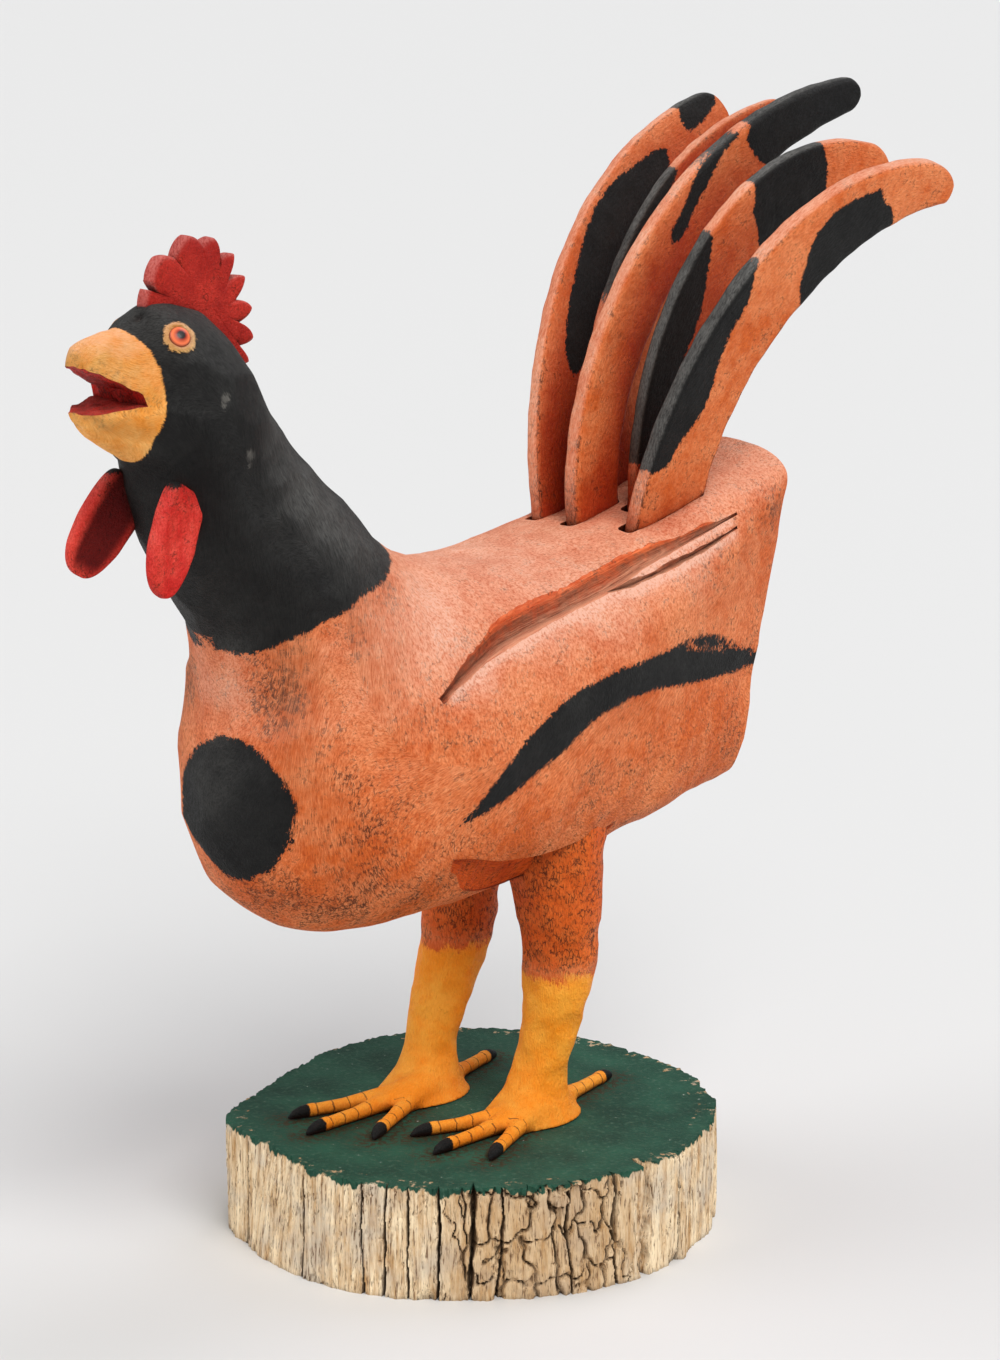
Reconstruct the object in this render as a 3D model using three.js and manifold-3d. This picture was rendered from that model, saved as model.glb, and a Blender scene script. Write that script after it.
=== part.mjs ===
// A folk carving of a standing rooster on a slice of log.
// Millimetres. The bird faces -Y, its left side is +X, up is +Z, and the origin is the centre of the
// underside of the log slice. "Ahead" is the distance towards -Y, "side" the distance towards +X.
import * as THREE from 'three';
import { mergeVertices } from 'three/addons/utils/BufferGeometryUtils.js';
import Module from 'manifold-3d';

const wasm = await Module();
wasm.setup();

// The gap left between pieces that touch, and a distance that clears the whole object.
const FIT = 0.3;
const BEYOND = 300;

// Log slice: a round of trunk. Each flat is [turn from the left side in degrees, depth, half width in
// degrees] of a place where the top is out of round, each ripple is [waves round the log, turn they
// start from, height], and each crack, split by drying, is [turn in degrees, half width, depth].
const BASE_RADIUS = 144;
const BASE_HEIGHT = 66;
const BASE_SIDES = 56;
const BASE_RIM = 1.5;
const BASE_FLATS = [[-157, 20, 36], [-98, 10, 26], [172, 6, 26], [80, 3, 30]];
const BASE_FOOT = 0.25;
const BASE_RIPPLES = [[5, 120, 1], [11, 0, 0.7]];
const BASE_CRACKS = [
  [-140, 5, 5], [-86, 4, 4], [-62, 4, 4], [-43.5, 7, 10], [-20, 5, 5], [-2, 10, 6], [44, 5, 4], [92, 7, 9],
  [140, 5, 5],
];
// The even points of the rim keep clear of a crack by this many times its half width.
const CRACK_CLEAR = 1.4;

// Cross-sections of the bird from the sawn rear end to the beak tip. Each lies in the plane that is
// square to the middle of the bird and holds its back and belly points, which are [ahead, up].
// half is half the width, wide says how far from belly to back the widest place is, and crown and keel
// are the superellipse powers above and below it: 2 is round, more is squarer.
const BIRD_SECTIONS = [
  { back: [-207, 435], belly: [-166, 243], half: 59, wide: 0.88, crown: 2.4, keel: 9.0 },
  { back: [-163, 424], belly: [-132, 237], half: 66, wide: 0.78, crown: 2.8, keel: 6.0 },
  { back: [-105, 406], belly: [-85, 226], half: 75, wide: 0.66, crown: 3.1, keel: 4.0 },
  { back: [-50, 396], belly: [-28, 211], half: 81, wide: 0.58, crown: 2.8, keel: 2.8 },
  { back: [-5, 394], belly: [25, 204], half: 84, wide: 0.54, crown: 2.5, keel: 2.4 },
  { back: [30, 397], belly: [80, 200], half: 84, wide: 0.50, crown: 2.3, keel: 2.3 },
  { back: [58, 404], belly: [132, 203], half: 80, wide: 0.50, crown: 2.1, keel: 2.3 },
  { back: [76, 414], belly: [168, 221], half: 75, wide: 0.50, crown: 2.0, keel: 2.2 },
  { back: [89, 425], belly: [189, 252], half: 68, wide: 0.52, crown: 2.0, keel: 2.1 },
  { back: [101, 437], belly: [194, 292], half: 60, wide: 0.54, crown: 2.0, keel: 2.0 },
  { back: [114, 450], belly: [186, 334], half: 54, wide: 0.55, crown: 2.0, keel: 2.0 },
  { back: [130, 464], belly: [192, 370], half: 50, wide: 0.55, crown: 2.0, keel: 2.0 },
  { back: [146, 482], belly: [211, 400], half: 47, wide: 0.52, crown: 2.0, keel: 2.0 },
  { back: [160, 500], belly: [228, 427], half: 45, wide: 0.50, crown: 2.0, keel: 2.0 },
  { back: [173, 520], belly: [234, 451], half: 44, wide: 0.50, crown: 2.0, keel: 2.0 },
  { back: [187, 542], belly: [239, 470], half: 43, wide: 0.50, crown: 2.0, keel: 2.0 },
  { back: [208, 558], belly: [248, 479], half: 38, wide: 0.52, crown: 2.0, keel: 2.0 },
  { back: [230, 563], belly: [253, 483], half: 30, wide: 0.55, crown: 2.0, keel: 2.0 },
  { back: [248, 553.5], belly: [257, 485], half: 22, wide: 0.52, crown: 2.0, keel: 2.0 },
  { back: [262, 551.5], belly: [266, 490], half: 19, wide: 0.50, crown: 2.2, keel: 2.0 },
  { back: [274, 548], belly: [275, 497.5], half: 15, wide: 0.50, crown: 2.4, keel: 2.1 },
  { back: [280, 541], belly: [280.5, 504.5], half: 9, wide: 0.50, crown: 2.4, keel: 2.2 },
];
// How far the sawn rear end is hollowed.
const REAR_HOLLOW = 6;
const BIRD_STEPS = 2;
const BIRD_SIDES = 28;

// The open mouth is a wedge sawn through the beak: its inner edge, and its upper and lower lips ahead
// of the tip, as [ahead, up].
const MOUTH_APEX = [251, 516];
const MOUTH_UPPER = [290, 540];
const MOUTH_LOWER = [290, 509];
const MOUTH_REACH = 40;

// Glass eye: a 12 mm button, let into the side of the head at [ahead, up], with its middle EYE_SUNK
// under the surface.
const EYE_RADIUS = 6;
const EYE_BULGE = 3.6;
const EYE_SUNK = 1.4;
const EYE_PLACE = [231, 548];
const EYE_FACETS = [12, 8];

// Comb: a flat plate of lobes round a point inside the head. Each lobe is
// [angle where it starts, angle of its tip, reach of the notch before it, reach of its tip].
const COMB_MIDDLE = [196, 540];
const COMB_THICK = 10;
const COMB_LOBES = [
  [22, 38, 30, 47], [43, 58, 34, 52.5], [67, 80, 49, 56.5], [89.5, 98, 50, 53.5], [107, 116, 44, 48],
  [121, 133, 35, 41.5], [141, 158, 29, 35.5], [167, 185, 26, 34], [196, 207, 25, 34.5],
];
const COMB_END = [218, 24];
const COMB_STEPS = 8;
const COMB_ROUND = 1.8;

// Wattles: flat ovals with their middle at [ahead, side, up]. Their lower ends lean ahead and flare
// outwards, and they splay towards their front edges, in degrees. The rear half narrows towards the
// lower end by the taper. The oval powers round off the width and the thickness towards the ends.
const WATTLE_LONG = 62;
const WATTLE_WIDE = 38;
const WATTLE_THICK = 9;
const WATTLE_TAPER = 0.6;
const WATTLE_MIDDLE = [240, 29.5, 440];
const WATTLE_LEAN = 23;
const WATTLE_FLARE = 11;
const WATTLE_SPLAY = 12;
const WATTLE_OVAL = [0.7, 0.4];
const WATTLE_CHAMFER = [0.45, 0.3];
const WATTLE_TURNS = [14, 28, 45, 65, 90, 115, 135, 152, 166];

// Tail feathers from the right side to the left: curved wooden plates that stand in slots in the back.
// foot is the middle of the plate at the height of the back, as [ahead, side]; lean tips it to the left;
// start and sweep are its slope backwards at the foot and what it gains by the tip, and bend says how
// late it gains it; half is half its width, and tip is the part of its width that is left at its end.
const FEATHERS = [
  { foot: [-105, -28], lean: -14, start: 4, sweep: 72, bend: 0.98,
    length: 309, half: 25.5, tip: 0.7, thick: 9.5 },
  { foot: [-126, -14], lean: -7.5, start: 3, sweep: 78, bend: 1.1,
    length: 308, half: 23, tip: 0.5, thick: 9 },
  { foot: [-100, -0.5], lean: -2, start: -11, sweep: 95, bend: 0.7,
    length: 361, half: 18.5, tip: 0.54, thick: 11.5 },
  { foot: [-137, 16], lean: 5, start: -7, sweep: 115, bend: 1.28,
    length: 311, half: 23, tip: 0.45, thick: 9 },
  { foot: [-119, 35.5], lean: 14, start: 1, sweep: 97, bend: 1.16,
    length: 309, half: 27, tip: 0.42, thick: 10.5 },
];
const BACK_HEIGHT = 400;
// Each feather narrows past its shoulder, a part of its length, by the taper's power, and has its four
// edges taken off by these parts of its thickness, along its width and through it.
const FEATHER_SHOULDER = 0.5;
const FEATHER_TAPER = 1.7;
const FEATHER_CHAMFER = [0.45, 0.22];
const FEATHER_STEPS = 14;
const TIP_TURNS = [10, 35, 60, 80];
// The slots reach further ahead than the feathers that stand in them.
const SLOT_DEPTH = 26;
const SLOT_STEPS = 4;
const SLOT_AHEAD = 5;

// V grooves along the folded wing, as [ahead, up, ahead, up] of their upper and lower edges, and how far
// from the upper to the lower edge their deepest line lies.
const WING_GROOVE = [
  [93, 336, 92, 335], [70, 351, 78, 340], [38, 369, 50, 352], [4, 375.5, 14, 364], [-30, 380.5, -24, 371.5],
  [-62, 388, -58, 380.5], [-98, 396, -96, 389.5], [-130, 402.5, -129, 397.5], [-156, 404, -156, 402.5],
];
const WING_GROOVE_DEPTH = 7;
const WING_GROOVE_FLOOR = 0.5;
const COVERT_GROOVE = [
  [-14, 370.5, -12, 368.5], [-50, 378, -48, 373], [-84, 386, -82, 381], [-118, 393, -117, 388.5],
  [-151, 399.5, -150, 398],
];
const COVERT_GROOVE_DEPTH = 5;
const COVERT_GROOVE_FLOOR = 0.6;
const BELLY_GROOVE = [
  [76, 241, 75, 240], [58, 233, 66, 227], [31, 228.5, 38, 219.5], [5, 226.5, 6, 217.5], [-16, 228, -20, 221],
  [-38, 234, -39, 232.5],
];
const BELLY_GROOVE_DEPTH = 6;
const BELLY_GROOVE_FLOOR = 0.25;
// A groove's sides are carried on past its edges by this much, and it grows shallow by this power of its
// width.
const GROOVE_OVER = 2.4;
const GROOVE_SHALLOWS = 0.7;

// Legs, as [up, ahead, side, half length, half width] from inside the belly down to the spread foot.
const LEFT_LEG = [
  [246, -32, 33, 34, 34], [222, -32, 35, 30, 30], [204, -33, 37, 27, 26], [188, -34, 38, 25, 24.5],
  [165, -35, 38, 22.5, 22], [150, -34.5, 38, 21.5, 21], [131, -31, 38, 19, 19], [110, -26, 37, 16.5, 16.5],
  [92, -21, 36, 16, 16.5], [80, -17, 36, 20, 18.5], [72, -13, 37, 27, 22], [66, -12, 37.5, 34, 26],
];
const RIGHT_LEG = [
  [246, -32, -35, 32, 32], [222, -32, -38, 27, 27], [204, -33, -40, 24, 24], [188, -32, -41, 22.5, 22.5],
  [165, -31, -42, 22, 22], [150, -27.5, -42.5, 21, 21], [131, -21, -42.5, 19, 19.5],
  [110, -12, -41.5, 16.5, 16.5], [92, -6, -40.5, 15, 15.5], [80, -2, -39, 19, 18], [72, 4, -37, 26, 21],
  [66, 7, -35, 33, 25],
];
const LEG_SIDES = 12;
// Toes as [ahead, side] of the ball of the foot, where they meet, and of their claw tips, three in front
// and one behind. A toe's stations are [place along the whole toe, radius, height of its middle], and
// its claw's are the same with the place along the claw.
const LEFT_BALL = [-8, 45];
const LEFT_TOES = [[63, 17], [74, 48], [58, 77], [-94, 22]];
const RIGHT_BALL = [12, -28];
const RIGHT_TOES = [[93, -54], [104, -26], [82, 6], [-71, -53]];
const TOE_STATIONS = [[0.1, 8, 7], [0.4, 5.2, 5], [0.6, 4, 3.9]];
const CLAW_STATIONS = [[-0.1, 3.8, 3.7], [0, 4.5, 3.9], [0.5, 4, 3.7], [0.85, 2.4, 2.6], [1, 0.9, 1.2]];
const TOE_SIDES = 8;
const CLAW_LENGTH = 15;

const lerp = (a, b, t) => a + (b - a) * t;
const radians = (degrees) => degrees * Math.PI / 180;

// Catmull-Rom curve through a list of numbers, at place t along the list.
function smooth(values, t) {
  const i = Math.min(Math.floor(t), values.length - 2);
  const u = t - i;
  const p1 = values[i];
  const p2 = values[i + 1];
  const p0 = i > 0 ? values[i - 1] : 2 * p1 - p2;
  const p3 = i + 2 < values.length ? values[i + 2] : 2 * p2 - p1;
  return p1 + 0.5 * u * (p2 - p0 + u * (2 * p0 - 5 * p1 + 4 * p2 - p3 + u * (3 * (p1 - p2) + p3 - p0)));
}

// The same curve through a list of rows of numbers.
function smoothRow(rows, t) {
  return rows[0].map((_, k) => smooth(rows.map((row) => row[k]), t));
}

function place(ahead, side, up) {
  return new THREE.Vector3(side, -ahead, up);
}

// Turns the faces round where they point inwards.
function outward(geometry) {
  const p = geometry.getAttribute('position');
  const index = Array.from(geometry.getIndex().array);
  const [a, b, c] = [new THREE.Vector3(), new THREE.Vector3(), new THREE.Vector3()];
  let volume = 0;
  for (let i = 0; i < index.length; i += 3) {
    a.fromBufferAttribute(p, index[i]);
    b.fromBufferAttribute(p, index[i + 1]);
    c.fromBufferAttribute(p, index[i + 2]);
    volume += a.dot(b.cross(c));
  }
  if (volume < 0) {
    for (let i = 0; i < index.length; i += 3) [index[i], index[i + 1]] = [index[i + 1], index[i]];
    geometry.setIndex(index);
  }
  return geometry;
}

// Closed surface over rings of points, with a fan over each end.
function loft(rings) {
  const sides = rings[0].length;
  const points = rings.flat();
  const faces = [];
  for (let r = 0; r < rings.length - 1; r++) {
    for (let s = 0; s < sides; s++) {
      const a = r * sides + s;
      const b = r * sides + (s + 1) % sides;
      faces.push(a, b, a + sides, b, b + sides, a + sides);
    }
  }
  for (const [r, flip] of [[0, true], [rings.length - 1, false]]) {
    const middle = new THREE.Vector3();
    for (const p of rings[r]) middle.addScaledVector(p, 1 / sides);
    const centre = points.push(middle) - 1;
    for (let s = 0; s < sides; s++) {
      const a = r * sides + s;
      const b = r * sides + (s + 1) % sides;
      if (flip) faces.push(a, centre, b);
      else faces.push(a, b, centre);
    }
  }
  const geometry = new THREE.BufferGeometry();
  const places = points.flatMap((p) => p.toArray());
  geometry.setAttribute('position', new THREE.Float32BufferAttribute(places, 3));
  geometry.setIndex(faces);
  return outward(geometry);
}

// The solid that a closed geometry bounds, for cutting and joining.
function solid(geometry) {
  let bare = geometry.clone();
  bare.deleteAttribute('normal');
  bare.deleteAttribute('uv');
  bare = mergeVertices(bare, 1e-4);
  return new wasm.Manifold(new wasm.Mesh({
    numProp: 3,
    vertProperties: new Float32Array(bare.getAttribute('position').array),
    triVerts: new Uint32Array(bare.getIndex().array),
  }));
}

function geometryOf(body) {
  const mesh = body.getMesh();
  const geometry = new THREE.BufferGeometry();
  geometry.setAttribute('position', new THREE.Float32BufferAttribute(mesh.vertProperties, 3));
  geometry.setIndex(Array.from(mesh.triVerts));
  return geometry;
}

// A prism across the bird over an outline of [ahead, up] points, from one side distance to another.
function prism(outline, from, to) {
  const shape = new THREE.Shape(outline.map(([ahead, up]) => new THREE.Vector2(ahead, up)));
  const geometry = new THREE.ExtrudeGeometry(shape, { depth: to - from, bevelEnabled: false });
  const turn = new THREE.Matrix4().makeBasis(place(1, 0, 0), place(0, 0, 1), place(0, -1, 0));
  geometry.applyMatrix4(turn);
  geometry.translate(to, 0, 0);
  return geometry;
}

// A box with its lowest and highest corners given.
function block(low, high) {
  const size = high.clone().sub(low);
  const geometry = new THREE.BoxGeometry(size.x, size.y, size.z);
  geometry.translate(...low.clone().add(high).multiplyScalar(0.5).toArray());
  return geometry;
}

// One cross-section ring of the bird at place t along the sections.
function birdRing(t) {
  const at = (key) => smooth(BIRD_SECTIONS.map((s) => s[key]), t);
  const back = smoothRow(BIRD_SECTIONS.map((s) => s.back), t);
  const belly = smoothRow(BIRD_SECTIONS.map((s) => s.belly), t);
  const [half, wide, crown, keel] = ['half', 'wide', 'crown', 'keel'].map(at);
  const middle = [lerp(belly[0], back[0], wide), lerp(belly[1], back[1], wide)];
  const ring = [];
  for (let k = 0; k < BIRD_SIDES; k++) {
    const turn = 2 * Math.PI * k / BIRD_SIDES;
    const [s, c] = [Math.sin(turn), Math.cos(turn)];
    const power = c > 0 ? crown : keel;
    const reach = (Math.abs(s) ** power + Math.abs(c) ** power) ** (-1 / power);
    const end = c > 0 ? back : belly;
    const along = Math.abs(c) * reach;
    const up = lerp(middle[1], end[1], along);
    const bow = Math.sin(Math.PI * (up - belly[1]) / (back[1] - belly[1]));
    const hollow = REAR_HOLLOW * Math.max(0, 1 - t) * bow;
    ring.push(place(lerp(middle[0], end[0], along) + hollow, half * s * reach, up));
  }
  return ring;
}

function birdLoft() {
  const rings = [];
  const steps = (BIRD_SECTIONS.length - 1) * BIRD_STEPS;
  for (let i = 0; i <= steps; i++) rings.push(birdRing(i / BIRD_STEPS));
  return loft(rings);
}

// Where a line from the side meets the bird at a place ahead and up, and the way its surface faces there.
const skin = new THREE.Mesh(birdLoft());
function onSide(ahead, up, side) {
  const ray = new THREE.Raycaster(place(ahead, side * BEYOND, up), place(0, -side, 0));
  const [hit] = ray.intersectObject(skin);
  return { point: hit.point, out: hit.face.normal };
}

// An oblong ring with its four corners taken off, from back to front across a plate and through it.
function plateRing(middle, across, through, back, front, halfThick, chamfer) {
  const [along, deep] = chamfer.map((part) => part * 2 * halfThick);
  const low = -halfThick;
  const corners = [
    [front - along, low], [front, low + deep], [front, halfThick - deep], [front - along, halfThick],
    [along - back, halfThick], [-back, halfThick - deep], [-back, low + deep], [along - back, low],
  ];
  return corners.map(([x, y]) => middle.clone().addScaledVector(across, x).addScaledVector(through, y));
}

// A tail feather, or with slot the larger plate that cuts its slot in the back.
function featherLoft(feather, slot = false) {
  const lean = radians(feather.lean);
  const through = new THREE.Vector3(Math.cos(lean), 0, -Math.sin(lean));
  const rise = new THREE.Vector3(Math.sin(lean), 0, Math.cos(lean));
  const ahead = place(1, 0, 0);
  const [gap, extra, depth] = slot ? [FIT, SLOT_AHEAD, SLOT_DEPTH] : [0, 0, SLOT_DEPTH - FIT];
  const slope = (u) => radians(feather.start + feather.sweep * u ** feather.bend);
  const turned = (a, b, angle) => {
    return a.clone().multiplyScalar(Math.cos(angle)).addScaledVector(b, Math.sin(angle));
  };
  const along = (u) => turned(rise, ahead, -slope(u));
  const ringAt = (u, middle, half) => {
    const across = turned(ahead, rise, slope(u));
    const chamfer = FEATHER_CHAMFER.map((part) => part * Math.min(half / feather.thick, 1));
    const [back, thick] = [half + gap, feather.thick / 2 + gap];
    return plateRing(middle, across, through, back, back + extra, thick, chamfer);
  };
  const middle = place(feather.foot[0], feather.foot[1], BACK_HEIGHT);
  const rings = [ringAt(0, middle.clone().addScaledVector(along(0), -depth), feather.half)];
  const last = slot ? SLOT_STEPS : FEATHER_STEPS;
  for (let i = 0; i <= last; i++) {
    const u = i / FEATHER_STEPS;
    if (i > 0) middle.addScaledVector(along(u - 0.5 / FEATHER_STEPS), feather.length / FEATHER_STEPS);
    const past = Math.max(u - FEATHER_SHOULDER, 0) / (1 - FEATHER_SHOULDER);
    const half = feather.half * (1 - (1 - feather.tip) * past ** FEATHER_TAPER);
    if (u < 1) {
      rings.push(ringAt(u, middle, half));
    } else {
      for (const turn of TIP_TURNS.map(radians)) {
        const end = middle.clone().addScaledVector(along(1), half * (Math.sin(turn) - 1));
        rings.push(ringAt(1, end, half * Math.cos(turn)));
      }
    }
  }
  return loft(rings);
}

// The comb's outline: each lobe rises from its notch to a rounded tip and falls to the next notch.
function combOutline() {
  const outline = [];
  const add = (degrees, r) => {
    const [ahead, up] = COMB_MIDDLE;
    outline.push([ahead + r * Math.cos(radians(degrees)), up + r * Math.sin(radians(degrees))]);
  };
  COMB_LOBES.forEach(([start, tip, notch, reach], i) => {
    const next = COMB_LOBES[i + 1];
    const [end, endNotch] = next ? [next[0], next[2]] : COMB_END;
    for (let k = 0; k < COMB_STEPS; k++) {
      const angle = lerp(start, end, k / COMB_STEPS);
      const rising = angle < tip;
      const u = rising ? (tip - angle) / (tip - start) : (angle - tip) / (end - tip);
      add(angle, lerp(reach, rising ? notch : endNotch, u ** COMB_ROUND));
    }
  });
  add(...COMB_END);
  return outline;
}

// The wedge that cuts a V groove: its sides pass through the two edges on the bird's surface and meet
// under it, and it grows deeper as the edges part.
function grooveWedge(edges, depth, floor, side) {
  const widths = edges.map(([a, b, c, d]) => Math.hypot(a - c, b - d));
  const widest = Math.max(...widths);
  return solid(loft(edges.map(([a, b, c, d], i) => {
    const { point, out } = onSide(a, b, side);
    const lower = onSide(c, d, side).point;
    const below = depth * (widths[i] / widest) ** GROOVE_SHALLOWS;
    const bottom = point.clone().lerp(lower, floor).addScaledVector(out, -below);
    const rim = [point, lower].map((edge) => bottom.clone().lerp(edge, GROOVE_OVER));
    return [...rim, bottom];
  })));
}

// A round ring with its own half length and half width, lying level.
function levelRing([up, ahead, side, long, wide]) {
  const ring = [];
  for (let k = 0; k < LEG_SIDES; k++) {
    const turn = 2 * Math.PI * k / LEG_SIDES;
    ring.push(place(ahead + long * Math.cos(turn), side + wide * Math.sin(turn), up));
  }
  return ring;
}

// A toe from the ball of the foot to its claw tip: round, low to the ground, with the claw set off by a
// step.
function toe(ball, tip) {
  const start = place(...ball, 0);
  const end = place(...tip, 0);
  const across = end.clone().sub(start).normalize().cross(new THREE.Vector3(0, 0, 1));
  const claw = 1 - CLAW_LENGTH / start.distanceTo(end);
  const stations = [...TOE_STATIONS, ...CLAW_STATIONS.map(([u, ...rest]) => [lerp(claw, 1, u), ...rest])];
  return loft(stations.map(([u, radius, height]) => {
    const ring = [];
    for (let k = 0; k < TOE_SIDES; k++) {
      const turn = 2 * Math.PI * k / TOE_SIDES;
      const point = start.clone().lerp(end, u).addScaledVector(across, radius * Math.cos(turn));
      ring.push(point.setZ(BASE_HEIGHT + height + radius * Math.sin(turn)));
    }
    return ring;
  }));
}

// What is left of a piece that stands against the bird, with the gap on the side given.
function fitted(piece, x, y, z) {
  const shifted = birdLoft();
  shifted.translate(x, y, z);
  return piece.subtract(solid(birdLoft())).subtract(solid(shifted));
}

// A leg with its foot, cut off level on the log slice and fitted under the belly.
function leg(rows, ball, toes) {
  let whole = solid(loft(rows.map(levelRing)));
  for (const tip of toes) whole = whole.add(solid(toe(ball, tip)));
  const low = new THREE.Vector3(-BEYOND, -BEYOND, 0);
  const high = new THREE.Vector3(BEYOND, BEYOND, BASE_HEIGHT + FIT);
  return fitted(whole.subtract(solid(block(low, high))), 0, 0, -FIT);
}

// How far a turn lies from another, in degrees either way.
function apart(turn, other) {
  const d = radians(turn - other);
  return Math.abs(Math.atan2(Math.sin(d), Math.cos(d))) * 180 / Math.PI;
}

// The turns at which the log slice has a point: evenly round it, and at the two lips and the bottom of
// each crack in place of the even ones there.
function logTurns() {
  const even = Array.from({ length: BASE_SIDES }, (_, k) => 360 * k / BASE_SIDES - 180);
  const reach = (half) => half / radians(BASE_RADIUS);
  const isClear = (turn, [where, half]) => apart(turn, where) > CRACK_CLEAR * reach(half);
  const clear = even.filter((turn) => BASE_CRACKS.every((crack) => isClear(turn, crack)));
  const cracks = BASE_CRACKS.flatMap(([where, half]) => [where - reach(half), where, where + reach(half)]);
  return [...clear, ...cracks].sort((a, b) => a - b);
}

// The log slice: its top is out of round, its foot less so, and each crack is a notch down its side.
function logSlice() {
  const rings = [];
  const turns = logTurns();
  for (const up of [0, BASE_RIM, BASE_HEIGHT - BASE_RIM, BASE_HEIGHT]) {
    const shrink = Math.max(0, BASE_RIM - Math.min(up, BASE_HEIGHT - up));
    const fade = lerp(BASE_FOOT, 1, up / BASE_HEIGHT);
    rings.push(turns.map((turn) => {
      let r = BASE_RADIUS - shrink;
      for (const [waves, start, height] of BASE_RIPPLES) {
        r += height * Math.sin(radians(waves * turn + start));
      }
      for (const [where, depth, half] of BASE_FLATS) {
        r -= fade * depth * Math.cos(Math.min(apart(turn, where) / half, 1) * Math.PI / 2) ** 2;
      }
      for (const [where, half, depth] of BASE_CRACKS) {
        r -= depth * Math.max(0, 1 - radians(apart(turn, where)) * BASE_RADIUS / half);
      }
      return new THREE.Vector3(r * Math.cos(radians(turn)), r * Math.sin(radians(turn)), up);
    }));
  }
  return loft(rings);
}

// An oval plate beside the throat: its upper end meets the neck, and its front edge stands further out.
function wattleLoft(side) {
  const [ahead, out, up] = WATTLE_MIDDLE;
  const [lean, flare, splay] = [WATTLE_LEAN, WATTLE_FLARE, WATTLE_SPLAY].map(radians);
  const down = place(Math.sin(lean), side * Math.sin(flare), -Math.cos(lean)).normalize();
  const front = place(Math.cos(splay), side * Math.sin(splay), 0);
  const through = new THREE.Vector3().crossVectors(down, front).normalize();
  const across = new THREE.Vector3().crossVectors(through, down);
  const rings = [];
  for (const turn of WATTLE_TURNS.map(radians)) {
    const middle = place(ahead, side * out, up).addScaledVector(down, -WATTLE_LONG / 2 * Math.cos(turn));
    const half = WATTLE_WIDE / 2 * Math.sin(turn) ** WATTLE_OVAL[0];
    const back = half * (1 - WATTLE_TAPER * (1 - Math.cos(turn)) / 2);
    const thick = WATTLE_THICK / 2 * Math.sin(turn) ** WATTLE_OVAL[1];
    rings.push(plateRing(middle, across, through, back, half, thick, WATTLE_CHAMFER));
  }
  return loft(rings);
}

// A flattened glass ball let into the head; gap makes the socket for it.
function eyeBall(side, gap = 0) {
  const { point, out } = onSide(...EYE_PLACE, side);
  const geometry = new THREE.SphereGeometry(EYE_RADIUS + gap, ...EYE_FACETS);
  geometry.scale(1, (EYE_BULGE + gap) / (EYE_RADIUS + gap), 1);
  geometry.applyQuaternion(new THREE.Quaternion().setFromUnitVectors(new THREE.Vector3(0, 1, 0), out));
  geometry.translate(...point.addScaledVector(out, -EYE_SUNK).toArray());
  return geometry;
}

const rooster = new THREE.Group();

function add(name, geometry, colour, roughness) {
  const material = new THREE.MeshStandardMaterial({ color: colour, roughness, metalness: 0 });
  const mesh = new THREE.Mesh(geometry, material);
  mesh.name = name;
  rooster.add(mesh);
}

const ORANGE = 0xd9703f;
const RED = 0xb0252b;
const OCHRE = 0xdf8f2c;
const GREEN = 0x1f4a3a;
const GLASS = 0xc8401c;

let body = solid(birdLoft());
for (const side of [1, -1]) {
  body = body.subtract(grooveWedge(WING_GROOVE, WING_GROOVE_DEPTH, WING_GROOVE_FLOOR, side));
  body = body.subtract(grooveWedge(COVERT_GROOVE, COVERT_GROOVE_DEPTH, COVERT_GROOVE_FLOOR, side));
  body = body.subtract(grooveWedge(BELLY_GROOVE, BELLY_GROOVE_DEPTH, BELLY_GROOVE_FLOOR, side));
}
const mouth = prism([MOUTH_APEX, MOUTH_LOWER, MOUTH_UPPER], -MOUTH_REACH, MOUTH_REACH);
body = body.subtract(solid(mouth));

FEATHERS.forEach((feather, i) => {
  body = body.subtract(solid(featherLoft(feather, true)));
  add(`tail_feather_${i + 1}`, featherLoft(feather), ORANGE, 0.75);
});

for (const [name, side] of [['left', 1], ['right', -1]]) {
  body = body.subtract(solid(eyeBall(side, FIT)));
  add(`eye_${name}`, geometryOf(solid(eyeBall(side))), GLASS, 0.08);
  add(`wattle_${name}`, geometryOf(fitted(solid(wattleLoft(side)), side * FIT, 0, 0)), RED, 0.6);
}

// The comb's slot is a gap wider and deeper than the comb.
const combSlot = prism(combOutline(), -COMB_THICK / 2 - FIT, COMB_THICK / 2 + FIT);
body = body.subtract(solid(combSlot));
combSlot.translate(0, 0, -FIT);
body = body.subtract(solid(combSlot));
add('comb', geometryOf(solid(prism(combOutline(), -COMB_THICK / 2, COMB_THICK / 2))), RED, 0.6);

add('body', geometryOf(body), ORANGE, 0.8);
add('leg_left', geometryOf(leg(LEFT_LEG, LEFT_BALL, LEFT_TOES)), OCHRE, 0.7);
add('leg_right', geometryOf(leg(RIGHT_LEG, RIGHT_BALL, RIGHT_TOES)), OCHRE, 0.7);
add('base', logSlice(), GREEN, 0.85);

export default rooster;
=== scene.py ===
"""A folk carving of a standing rooster on a slice of log, in carved and brush-painted wood.

Sizes are in millimetres until a mesh is made. The bird faces -Y and its left side is +X. "Ahead" is the
distance towards -Y, "side" the distance towards +X, and "up" the height over the underside of the log.
"""

import bpy
import numpy as np
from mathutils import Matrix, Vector
from mathutils.bvhtree import BVHTree


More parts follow.
